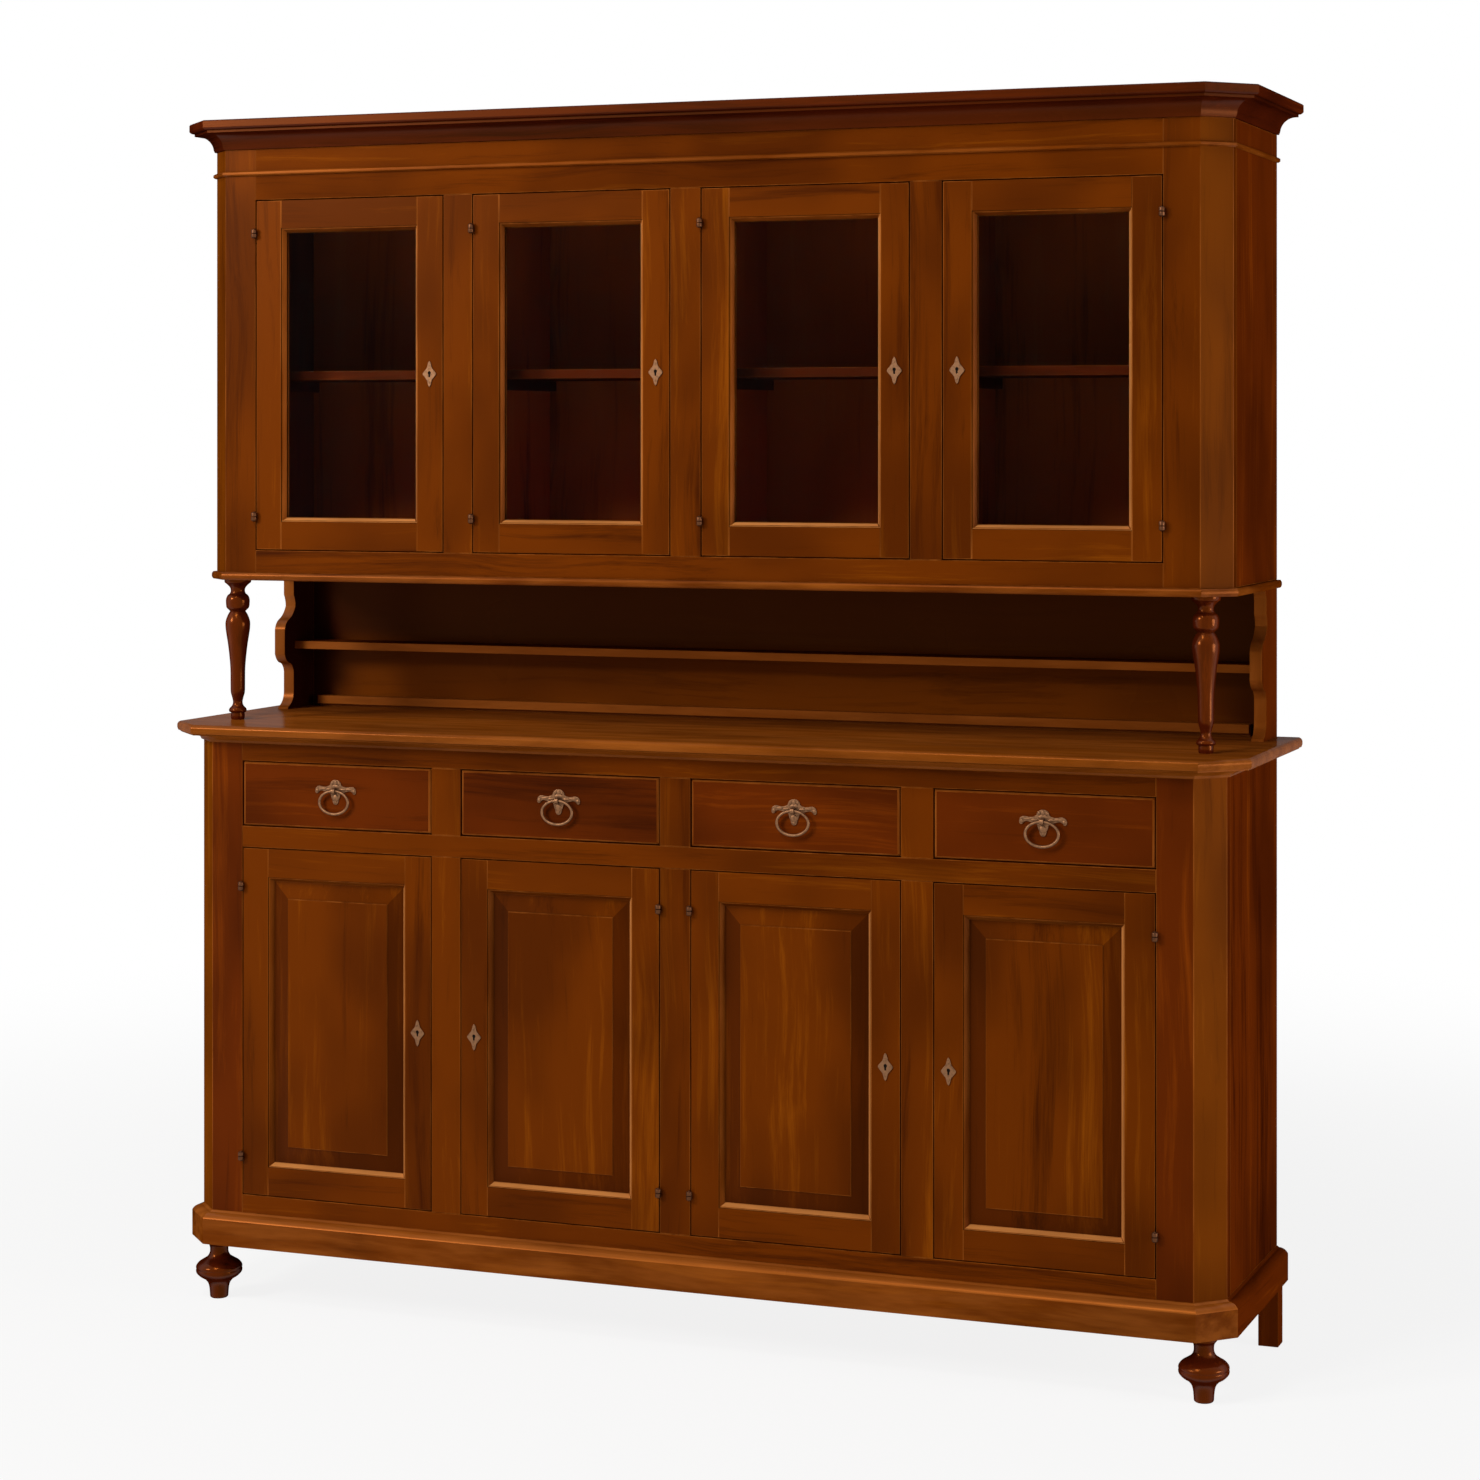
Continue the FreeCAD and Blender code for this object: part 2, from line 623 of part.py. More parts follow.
roof = z_crown - S.board_thick
node("hutch_boards", [case_board("hutch_floor", hutch, (z_glass - S.board_thick, z_glass)),
                      case_board("hutch_roof", hutch, (roof, z_crown))])
node("hutch_partitions", [
    board("hutch_partition_%d" % (k + 1),
          (wall_mid[k] - S.wall_thick / 2, wall_mid[k] + S.wall_thick / 2),
          (hutch + S.frame_thick, back), (z_glass, roof)) for k in range(3)])
shelves("hutch_shelves", hutch, z_glass + S.glass_opening / 2 - S.shelf_thick / 2)
node("back_panels", [
    board("hutch_back_panel", (-inner, inner), (back, S.base_depth), (z_hutch, z_crown)),
    board("open_back_panel", (-stage, stage), (back, S.base_depth), (z_desk, z_lip))])

h, w = S.cornice_height, S.cornice_step
cornice_profile = [(-S.cornice_seat, 0), (0.08 * w, 0), (0.12 * w, 0.09 * h, -0.4),
                   (0.73 * w, 0.57 * h), (0.81 * w, 0.57 * h), (0.81 * w, 0.66 * h, 0.3),
                   (w, 0.74 * h), (w, 0.96 * h), (0.96 * w, h), (-S.cornice_seat, h)]
node("cornice", mitred("cornice", cornice_profile, hutch, z_crown, w, S.cornice_seat, h))
h = S.bead_height
bead_profile = [(0, 0), (0.33 * h, 0), (0.7 * h, 0.25 * h), (0.7 * h, 0.75 * h), (0.33 * h, h),
                (0, h)]
node("frieze_bead", mitred("frieze_bead", bead_profile, hutch, z_frieze + S.bead_rise - h / 2, h,
                           Size.of(0), h))

# ---------------------------------------------------------------------------------------------
# Hinges: a lower half with the pin stands on the case, an upper half hangs on the door
# ---------------------------------------------------------------------------------------------
def rod(name, diameter, z, sides=8):
    """A small upright rod; a regular prism of the same width keeps repeated brass light."""
    obj = doc.addObject("Part::Prism", name)
    obj.Polygon = sides
    bind(obj, "Circumradius", diameter / 2)
    bind(obj, "Height", z[1] - z[0])
    place(obj, 0, 0, z[0])
    return obj


def hinge_leaf(name, z):
    return board(name, (-S.leaf_thick / 2, S.leaf_thick / 2),
                 (S.hinge_barrel * 0.4, S.hinge_stand + S.leaf_depth), z, local=True)


wide, tall, gudgeon = S.hinge_barrel, S.hinge_half, 0.8 * S.hinge_half
hinge_low = fuse("hinge_lower_half", [
    rod("lower_barrel", wide, (-tall, Size.of(0))), rod("hinge_pin", S.hinge_pin, (-tall, gudgeon)),
    hinge_leaf("lower_leaf", (-tall, Size.of(0)))])
hinge_high = cut("hinge_upper_half", fuse("hinge_upper_solid", [
    rod("upper_barrel", wide, (S.pin_play, tall)), hinge_leaf("upper_leaf", (S.pin_play, tall))]),
    rod("hinge_bore", S.hinge_pin + 2 * S.pin_play, (Size.of(-1), gudgeon + S.pin_play)))

# Key plate: a pierced lozenge; its keyhole is a round head with a slot.
u, v = S.key_plate_width / 2, S.key_plate_height / 2
quarter = [(0.3 * u, 0.6 * v), (0.65 * u, 0.28 * v), (u, 0)]
lozenge = [(0, -v)] + [(x, -1 * y) for x, y in quarter] + quarter[1::-1]
lozenge += [(0, v)] + [(-x, y) for x, y in quarter] + [(-x, -1 * y) for x, y in quarter[1::-1]]
key_plate = fretted("key_plate", "XZ_Plane", lozenge, S.plate_thick,
                    hole=[(-0.09 * u, -0.22 * v), (0.09 * u, -0.22 * v), (0.18 * u, 0.04 * v),
                          (0.12 * u, 0.16 * v), (-0.12 * u, 0.16 * v), (-0.18 * u, 0.04 * v)])

# ---------------------------------------------------------------------------------------------
# Doors. Each is drawn once with its opening's lower left front corner at the origin.
# ---------------------------------------------------------------------------------------------
gap, stile, thick = S.door_gap, S.door_stile, S.door_thick
sight = (gap + stile, bay - gap - stile)


def door_woodwork(name, height, filling):
    """Stiles, rails, the moulding around the opening and the bead that holds the filling."""
    level = (gap + stile, height - gap - stile)
    outside = (gap, height - gap)
    y = (Size.of(0), thick)
    lip = (S.sticking_drop, S.sticking_drop + S.sticking_depth)
    rest = (lip[1] + filling, lip[1] + filling + S.stop_thick)
    pieces = [board(name + "_left_stile", (gap, sight[0]), y, outside, local=True),
              board(name + "_right_stile", (sight[1], bay - gap), y, outside, local=True),
              board(name + "_bottom_rail", sight, y, (gap, level[0]), local=True),
              board(name + "_top_rail", sight, y, (level[1], height - gap), local=True)]
    block = board(name + "_sticking_block", sight, lip, level, local=True)
    hollow = frustum(name + "_sticking_bevel", sight, lip, level, S.sticking / 4, S.sticking)
    pieces.append(cut(name + "_sticking", block, hollow))
    stop = board(name + "_stop_block", sight, rest, level, local=True)
    window = board(name + "_stop_window", (sight[0] + S.sticking, sight[1] - S.sticking),
                   rest, (level[0] + S.sticking, level[1] - S.sticking), local=True)
    pieces.append(cut(name + "_stop", stop, window))
    return pieces, level, lip[1]


def group(name, pieces):
    obj = doc.addObject("Part::Compound", name)
    obj.Links = pieces
    return obj


panel_pieces, level, seat = door_woodwork("cupboard_door", S.door_opening, S.panel_thick)
field = seat - S.sticking_depth * 0.55
rim = S.sticking + S.runner_play
panel_pieces.append(fuse("raised_panel", [
    board("panel_board", sight, (seat, seat + S.panel_thick), level, local=True),
    frustum("panel_bevels", sight, (field, seat), level, rim + S.panel_bevel, rim),
    board("panel_field", (sight[0] + rim + S.panel_bevel, sight[1] - rim - S.panel_bevel),
          (field - S.panel_step, field), (level[0] + rim + S.panel_bevel, level[1] - rim - S.panel_bevel),
          local=True)]))
cupboard_door = group("cupboard_door", panel_pieces)

glazed_pieces, level, seat = door_woodwork("glazed_door", S.glass_opening, S.glass_thick)
glazed_door = group("glazed_door", glazed_pieces)
glass_pane = group("glass_pane", [
    board("glass_sheet", sight, (seat, seat + S.glass_thick), level, local=True)])

hinge_rests = []
ROWS = (("cupboard", front, z_door, S.door_opening, S.low_hinge, (1, -1, 1, -1)),
        ("glazed", front + hutch, z_glass, S.glass_opening, S.high_hinge, (1, 1, 1, -1)))
for row, y, z, height, inset, hands in ROWS:
    for k, hand in enumerate(hands):
        name = "%s_door_%d" % (row, k + 1)
        x = bay_left[k]
        axis = x + gap / 2 if hand > 0 else x + bay - gap / 2
        lock = x + bay - gap - stile / 2 if hand > 0 else x + gap + stile / 2
        wood = cupboard_door if row == "cupboard" else glazed_door
        node(name + "_woodwork", [copy_at(name + "_frame", wood, x, y, z)])
        if row == "glazed":
            node(name + "_glass", [copy_at(name + "_pane", glass_pane, x, y, z)])
        brass = [copy_at(name + "_key_plate", key_plate, lock, y, z + height / 2)]
        for word, level in (("low", z + inset), ("high", z + height - inset)):
            brass.append(copy_at("%s_hinge_%s" % (name, word), hinge_high, axis,
                                 y - S.hinge_stand, level))
            hinge_rests.append(copy_at("%s_hinge_rest_%s" % (name, word), hinge_low, axis,
                                       y - S.hinge_stand, level))
        node(name + "_fittings", brass)
node("hinge_rests", hinge_rests)

# ---------------------------------------------------------------------------------------------
# Drawers and their ring pulls, drawn at their opening's lower left front corner
# ---------------------------------------------------------------------------------------------
low, high = gap, S.drawer_opening - gap
bevel = S.front_bevel
box = (S.drawer_play, bay - S.drawer_play)
inside = (box[0] + S.drawer_wall, box[1] - S.drawer_wall)
end = S.frame_thick + S.drawer_depth
floor = (low + S.drawer_groove, low + S.drawer_groove + S.drawer_floor)
drawer = group("drawer_box", [
    fuse("drawer_front", [
        board("drawer_front_board", (gap, bay - gap), (bevel, S.frame_thick), (low, high), local=True),
        frustum("drawer_front_bevel", (gap, bay - gap), (Size.of(0), bevel), (low, high), bevel,
                Size.of(0))]),
    board("drawer_left_side", (box[0], inside[0]), (S.frame_thick, end), (low, low + S.drawer_side),
          local=True),
    board("drawer_right_side", (inside[1], box[1]), (S.frame_thick, end), (low, low + S.drawer_side),
          local=True),
    board("drawer_back", inside, (end - S.drawer_wall, end), (low, low + S.drawer_side), local=True),
    board("drawer_bottom", inside, (S.frame_thick, end - S.drawer_wall), floor, local=True)])

# Back plate: a crest above, scrolled wings to the sides and a drop below the eye.
u = S.pull_width / 2
wing = [(0.12 * u, -22), (0.22 * u, -13), (0.26 * u, -6), (0.66 * u, 0), (0.8 * u, -1),
        (0.9 * u, -6), (u, -3), (u, 3), (0.88 * u, 8), (0.5 * u, 7), (0.27 * u, 10), (0.2 * u, 17)]
plate_outline = [(0, -26)] + wing + [(0, 20)]
plate_outline += [(-p[0], p[1], 0) for p in wing[::-1]]
plate = fretted("pull_plate", "XZ_Plane", plate_outline, S.plate_thick)


def cross_rod(name, radius, length, sides=10):
    """A rod along X through the ring's axis."""
    obj = doc.addObject("Part::Prism", name)
    obj.Polygon = sides
    bind(obj, "Circumradius", radius)
    bind(obj, "Height", length)
    obj.Placement = App.Placement(App.Vector(), App.Rotation(App.Vector(0, 1, 0), 90))
    place(obj, -length / 2, -S.pull_stand, 0)
    return obj


eye = (S.ring_wire / 2 + S.pin_play) * (1 / math.cos(math.pi / 10))
post = board("pull_post", (-S.boss_width / 2, S.boss_width / 2), (-S.pull_stand, -S.plate_thick / 2),
             (-S.boss_width / 2, S.boss_width / 2), local=True)
pull_plate = cut("pull_mount", fuse("pull_mount_solid", [
    plate, cross_rod("pull_eye", eye + S.boss_width / 3, S.boss_width), post]),
    cross_rod("pull_eye_bore", eye, S.boss_width + 2))

# Ring: an eight-sided wire swept around an oval whose straight top turns in the eye.
SIDES = 12
oval = doc.addObject("Sketcher::SketchObject", "ring_path")
points = []
for i in range(SIDES):
    turn = 2 * math.pi * (i + 0.5) / SIDES
    top = math.cos(math.pi / SIDES)
    points.append((S.ring_width / 2 * math.sin(turn), S.ring_drop / 2 * (math.cos(turn) - top)))
outline(oval, points)
oval.Placement = App.Placement(App.Vector(), App.Rotation(App.Vector(1, 0, 0), 90))
section = doc.addObject("Sketcher::SketchObject", "ring_section")
outline(section, [(S.ring_wire / 2 * math.cos(math.pi * (2 * i + 1) / 8),
                   S.ring_wire / 2 * math.sin(math.pi * (2 * i + 1) / 8)) for i in range(8)])
section.Placement = App.Placement(App.Vector(), App.Rotation(App.Vector(0, 1, 0), 90))
ring = doc.addObject("Part::Sweep", "pull_ring")
ring.Sections = [section]
ring.Spine = (oval, ["Edge%d" % (i + 1) for i in range(SIDES)])
ring.Solid = True
ring.Transition = "Right corner"

middle = z_drawer + S.drawer_opening / 2 + S.pull_rise
for k in range(4):
    name = "drawer_%d" % (k + 1)
    x = bay_left[k]
    node(name + "_box", [copy_at(name + "_woodwork", drawer, x, front, z_drawer)])
    node(name + "_plate", [copy_at(name + "_mount", pull_plate, x + bay / 2, front, middle)])
    node(name + "_ring", [copy_at(name + "_bail", ring, x + bay / 2, front - S.pull_stand, middle)])

# ---------------------------------------------------------------------------------------------
# Check everything, then write one STEP file for each sub-part
# ---------------------------------------------------------------------------------------------
doc.recompute()
for obj in doc.Objects:
    if "Invalid" in obj.State or "Error" in obj.State:
        raise RuntimeError("%s is %s" % (obj.Name, obj.State))
for name, obj in parts.items():
    shape = obj.Shape
    if shape.isNull() or not shape.isValid() or not shape.Solids:
        raise RuntimeError("%s has no valid shape" % name)

os.makedirs("parts", exist_ok=True)
for name, obj in parts.items():
    obj.Shape.exportStep("parts/%s.step" % name)
print("%d nodes, %d solids" % (len(parts), sum(len(o.Shape.Solids) for o in parts.values())))
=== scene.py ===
"""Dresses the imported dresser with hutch: wood, brass and glass, turned and cast pieces, stage."""
import math

import bmesh
import bpy
from bpy.props import FloatProperty, FloatVectorProperty, IntProperty, PointerProperty
from bpy.types import Operator, Panel, PropertyGroup
from mathutils import Matrix, Vector


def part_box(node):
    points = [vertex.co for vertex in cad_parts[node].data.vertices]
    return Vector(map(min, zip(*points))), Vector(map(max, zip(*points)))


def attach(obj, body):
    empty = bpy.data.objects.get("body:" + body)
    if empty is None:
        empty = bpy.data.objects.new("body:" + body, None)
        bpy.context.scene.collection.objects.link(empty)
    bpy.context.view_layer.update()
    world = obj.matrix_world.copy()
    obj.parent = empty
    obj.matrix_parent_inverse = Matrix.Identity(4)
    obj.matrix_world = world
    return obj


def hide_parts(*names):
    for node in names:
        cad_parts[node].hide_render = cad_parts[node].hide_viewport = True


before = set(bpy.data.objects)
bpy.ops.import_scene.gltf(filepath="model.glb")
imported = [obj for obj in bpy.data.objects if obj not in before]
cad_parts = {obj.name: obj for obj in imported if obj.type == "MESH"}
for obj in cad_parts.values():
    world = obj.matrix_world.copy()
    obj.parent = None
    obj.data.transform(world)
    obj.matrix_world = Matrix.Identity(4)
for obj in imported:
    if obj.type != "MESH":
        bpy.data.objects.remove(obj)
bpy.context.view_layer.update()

bl_info = {
    "name": "Dresser with Hutch",
    "version": (1, 0, 0),
    "blender": (4, 5, 0),
    "location": "View3D > Sidebar > Dresser",
    "description": "Gives the dresser its wood, brass and glass, its turned and cast pieces "
                   "and a stage",
    "category": "Object",
}

MM = 0.001
HAIR = 0.1 * MM
BAYS = range(1, 5)

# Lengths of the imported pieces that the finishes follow.
CANT = 46 * MM
DOOR_GAP = 2 * MM
DOOR_STILE = 52 * MM
PANEL_BEVEL = 31 * MM
PLINTH_NOSE = 13 * MM
DRAWER_FRONT = 22 * MM
DRAWER_BEVEL = 3 * MM
DRAWER_SIDE = 18 * MM

# Widths of eased edges: of inner and thin boards, of mouldings and of doors.
FINE_ARRIS = 0.6 * MM
MOULDING_ARRIS = 0.7 * MM
DOOR_ARRIS = 1.4 * MM


def paint(red, green, blue):
    """A colour written in 0 to 255, as the linear numbers that shaders use."""
    parts = [value / 255 for value in (red, green, blue)]
    return tuple(c / 12.92 if c <= 0.04045 else ((c + 0.055) / 1.055) ** 2.4 for c in parts)


def colour(name, description, *value):
    return FloatVectorProperty(name=name, description=description, subtype="COLOR", size=3,
                               min=0, max=1, default=paint(*value))


# ----------------------------------------------------------------------------------------------
# What a user would change
# ----------------------------------------------------------------------------------------------
class DresserWood(PropertyGroup):
    case_dark: colour("Case, dark grain", "Dark streaks of the stained case wood", 56, 17, 2)
    case_main: colour("Case", "Main colour of the stained case wood", 114, 50, 3)
    case_light: colour("Case, light grain", "Light streaks of the stained case wood", 156, 80, 9)
    post_dark: colour("Posts, dark grain", "Dark streaks of posts, sides and cornice", 48, 12, 2)
    post_main: colour("Posts", "Main colour of posts, sides and cornice", 104, 40, 4)
    post_light: colour("Posts, light grain", "Light streaks of posts, sides and cornice",
                       144, 64, 8)
    # Bleached tints: the worktop's lighter tone; on the canted corners they are a painted
    # highlight, and on the open stage they lie under its painted shade.
    gold_dark: colour("Bleached, dark grain", "Dark streaks of the canted corners and worktop",
                      78, 32, 3)
    gold_main: colour("Bleached", "Main colour of the canted corners and worktop", 128, 62, 6)
    gold_light: colour("Bleached, light grain", "Light streaks of those boards", 162, 88, 14)
    # Painted shade: a dark colour that stands in for the shadow deep in the open stage and on the
    # brackets' inner faces.
    painted_shade: colour("Unfaded", "Stain deep in the open stage, where daylight hardly reached it",
                    42, 9, 4)
    # Painted shade: these darker colours go on the left, right and lower bevels of the raised
    # fields; the top bevel keeps the case colours.
    bevel_dark: colour("Panel bevels, dark grain", "Dark streaks where polish gathers on panels",
                       42, 13, 2)
    bevel_main: colour("Panel bevels", "Colour of the bevels around the raised fields", 88, 35, 2)
    bevel_light: colour("Panel bevels, light grain", "Light streaks of those bevels", 124, 58, 6)
    turned_dark: colour("Turnings, dark grain", "Dark streaks of columns and feet", 34, 7, 2)
    turned_main: colour("Turnings", "Main colour of columns and feet", 82, 26, 5)
    turned_light: colour("Turnings, light grain", "Light streaks of columns and feet", 126, 50, 10)
    # The inside colours are made lighter than the case as painted light, for the light that the
    # case and the glass keep from the inside.
    inner_dark: colour("Inside, dark grain", "Dark streaks of the wood inside", 84, 34, 8)
    inner_main: colour("Inside", "Main colour of the wood inside", 180, 86, 26)
    inner_light: colour("Inside, light grain", "Light streaks of the wood inside", 186, 100, 36)
    # Wear and painted highlight: eased edges and rubbed boards take this lighter colour, which also
    # stands in for highlights along them.
    worn: colour("Worn edges", "Colour where the stain is rubbed thin along edges", 182, 102, 38)
    # Painted highlight: the light colour of the door mouldings' right and lower lengths.
    bead: colour("Rubbed mouldings", "Colour of the mouldings around panels and panes",
                 224, 146, 78)
    # Old polish together with painted shade: this colour goes where ambient occlusion finds corners
    # and mouldings.
    crevice_polish_and_shade: colour("Crevices", "Colour of old polish in corners and mouldings", 26, 8, 1)
    sheen: colour("Sheen", "Tint of the varnish's reflections", 255, 140, 48)


class DresserMetal(PropertyGroup):
    brass: colour("Brass", "Rubbed brass of pulls and key plates", 134, 95, 66)
    tarnish: colour("Tarnish", "Aged brass in the hollows", 66, 42, 24)
    bronze: colour("Bronze", "Dark bronze of the hinges", 46, 26, 16)
    bronze_rub: colour("Rubbed bronze", "Bronze where hands have rubbed it", 96, 60, 38)


class DresserSizes(PropertyGroup):
    arris: FloatProperty(name="Eased edge", description="Width of the eased edge of every board",
                         default=1.1 * MM, min=0, unit="LENGTH")
    arris_steps: IntProperty(name="Edge steps", description="Steps across an eased edge",
                             default=2, min=1, max=4)
    turning_steps: IntProperty(name="Turning steps", description="Steps around columns and feet",
                               default=56, min=12)
    ring_wire: FloatProperty(name="Ring wire", description="Thickness of a ring where it turns",
                             default=5 * MM, min=0, unit="LENGTH")
    ring_swell: FloatProperty(name="Ring swell", description="How much thicker the ring is below",
                              default=1.1, min=1)
    plate: FloatProperty(name="Plate", description="Thickness of the brass plates",
                         default=2 * MM, min=0, unit="LENGTH")


class DresserStage(PropertyGroup):
    camera_x: FloatProperty(name="Camera X", description="Camera to the right of the middle",
                            default=2.222, unit="LENGTH")
    camera_y: FloatProperty(name="Camera Y", description="Camera in front of the middle",
                            default=-5.434, unit="LENGTH")
    camera_z: FloatProperty(name="Camera height", description="Camera above the floor",
                            default=1.6145, unit="LENGTH")
    camera_turn: FloatProperty(name="Camera turn", description="Turn of the camera to its left",
                               default=0.356, subtype="ANGLE")
    lens: FloatProperty(name="Lens", description="Focal length in millimetres", default=78.6)
    shift_x: FloatProperty(name="Shift across", description="Lens shift across", default=-0.0542)
    shift_y: FloatProperty(name="Shift up", description="Lens shift upward", default=-0.2065)
    key: FloatProperty(name="Key lamp", description="Power of the lamp at the front left",
                       default=150, min=0, unit="POWER")
    top: FloatProperty(name="Top lamp", description="Power of the lamp above the front",
                       default=62, min=0, unit="POWER")
    side: FloatProperty(name="Side lamp", description="Power of the lamp at the right",
                        default=80, min=0, unit="POWER")
    sky: FloatProperty(name="Sky", description="Strength of the soft light from all around",
                       default=0.11, min=0)
    floor: colour("Floor", "Colour of floor and backdrop", 250, 250, 250)
    floor_glow: FloatProperty(name="Floor clearness", description="How much of the floor's "
                              "brightness stays in a shadow", default=0.86, min=0, max=1)


# ----------------------------------------------------------------------------------------------
# Shader maths
# ----------------------------------------------------------------------------------------------
class Wire:
    """A socket on its way through a material; arithmetic on it adds Math nodes."""

    def __init__(self, graph, socket):
        self.graph = graph
        self.socket = socket

    def _math(self, operation, first, second):
        return self.graph.add("ShaderNodeMath", {"operation": operation}, {0: first, 1: second})

    def __add__(self, other):
        return self._math("ADD", self, other)

    def __radd__(self, other):
        return self._math("ADD", other, self)

    def __rsub__(self, other):
        return self._math("SUBTRACT", other, self)

    def __mul__(self, other):
        return self._math("MULTIPLY", self, other)

    def __rmul__(self, other):
        return self._math("MULTIPLY", other, self)

    def __pow__(self, other):
        return self._math("POWER", self, other)

    def between(self, low, high):
        """0 below low, 1 above high and a soft step in between."""
        return self.graph.add("ShaderNodeMapRange", {"interpolation_type": "SMOOTHSTEP"},
                              {0: self, 1: low, 2: high})


class Graph:
    """The nodes of one material or world."""

    def __init__(self, owner):
        owner.use_nodes = True
        self.nodes = owner.node_tree.nodes
        self.links = owner.node_tree.links
        self.nodes.clear()

    def add(self, kind, settings=None, values=None, out=0):
        """One node: its settings first, then the values or wires of its sockets."""
        node = self.nodes.new(kind)
        for name, value in (settings or {}).items():
            if name == "stops":
                stops = node.color_ramp.elements
                while len(stops) < len(value):
                    stops.new(1)
                for stop, (position, tint) in zip(stops, value):
                    stop.position = position
                    stop.color = (*tint, 1)
            else:
                setattr(node, name, value)
        for key, value in (values or {}).items():
            if isinstance(value, Wire):
                self.links.new(value.socket, node.inputs[key])
            else:
                node.inputs[key].default_value = value
        return Wire(self, node.outputs[out]) if len(node.outputs) else None

    def vector(self, operation, first, second):
        return self.add("ShaderNodeVectorMath", {"operation": operation}, {0: first, 1: second})

    def noise(self, place, scale, detail=2, roughness=0.5, bend=0.0, out=0):
        return self.add("ShaderNodeTexNoise", None, {
            "Vector": place, "Scale": scale, "Detail": detail, "Roughness": roughness,
            "Distortion": bend}, out)

    def mix(self, factor, first, second):
        pair = [value if isinstance(value, Wire) else (*value, 1) for value in (first, second)]
        return self.add("ShaderNodeMix", {"data_type": "RGBA"}, {0: factor, 6: pair[0], 7: pair[1]},
                        out=2)

    def finish(self, shader, target="ShaderNodeOutputMaterial"):
        self.add(target, None, {"Surface": shader})


def settings():
    return bpy.context.scene.dresser_wood, bpy.context.scene.dresser_metal


def new_material(name, build):
    """The material of that name; it is built the first time it is asked for."""
    material = bpy.data.materials.get(name)
    if material is None:
        material = bpy.data.materials.new(name)
        build(Graph(material))
    return material


# Waves per metre of each part of the grain's pattern: across the grain and along it.
WAVES = {
    "figure": (11, 0.8),
    "streak": (75, 1.9),
    "pores": (520, 14),
    "blotch": (4.6, 2.4),
    "rubbing": (34, 5),
}

# Family: the prefix of its three colours, roughness, reflection, how dark corners get
# with old polish and painted shade, and how far the stain is rubbed off as wear and painted
# highlight.
FAMILIES = {
    "case": ("case", 0.36, 0.14, 0.9, 0),
    "post": ("post", 0.34, 0.16, 0.9, 0),
    "frieze": ("case", 0.4, 0.05, 0.9, 0),
    # stage: bleached tints with painted shade above the narrow shelf and towards both ends; shade:
    # painted shade all over.
    "stage": ("gold", 0.3, 0.2, 0.9, 0),
    "shade": ("turned", 0.5, 0.06, 0.5, 0),
    "shelf": ("turned", 0.5, 0.1, 0.5, 0),
    # cant: the bleached tints as a painted highlight on the canted faces.
    "cant": ("gold", 0.4, 0.06, 0.9, 0),
    "top": ("gold", 0.2, 0.3, 0.5, 0.3),
    "plinth": ("case", 0.36, 0.16, 0.5, 0.24),
    "cornice": ("turned", 0.3, 0.3, 0.8, 0),
    "lip": ("case", 0.3, 0.4, 0.7, 0.16),
    # edge: pale rubbed colour, as wear and as a painted highlight, on the plinth's nose, shelf
    # edges, drawer bevels and sawn bracket edges.
    "edge": ("case", 0.3, 0.6, 0.4, 0.5),
    # bead: painted highlight on the right and lower lengths of the door mouldings.
    "bead": ("case", 0.3, 1, 0.1, 0.85),
    # bevel: painted shade on the raised fields' left, right and lower bevels.
    "bevel": ("bevel", 0.36, 0.14, 0.95, 0),
    "turned": ("turned", 0.2, 0.5, 0.6, 0),
    # inner: lighter tints as painted light inside.
    "inner": ("inner", 0.62, 0.08, 0.3, 0),
}


def painted_shade_parts(graph, family, spot):
    """Painted shade: how much of the dark shade colour goes on the brackets' inner faces, and on
    the open stage above the narrow shelf and towards both ends.
    """
    if family == "shade":
        return [0.85]
    if family != "stage":
        return []
    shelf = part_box("open_shelf")[1].z
    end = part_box("back_panels")[1].x
    across, height = (graph.add("ShaderNodeSeparateXYZ", None, {0: spot}, out=name)
                      for name in ("X", "Z"))
    across = graph.add("ShaderNodeMath", {"operation": "ABSOLUTE"}, {0: across})
    return [height.between(shelf - 20 * MM, shelf + 30 * MM) * 0.92,
            across.between(end - 130 * MM, end - 20 * MM) * 0.85]


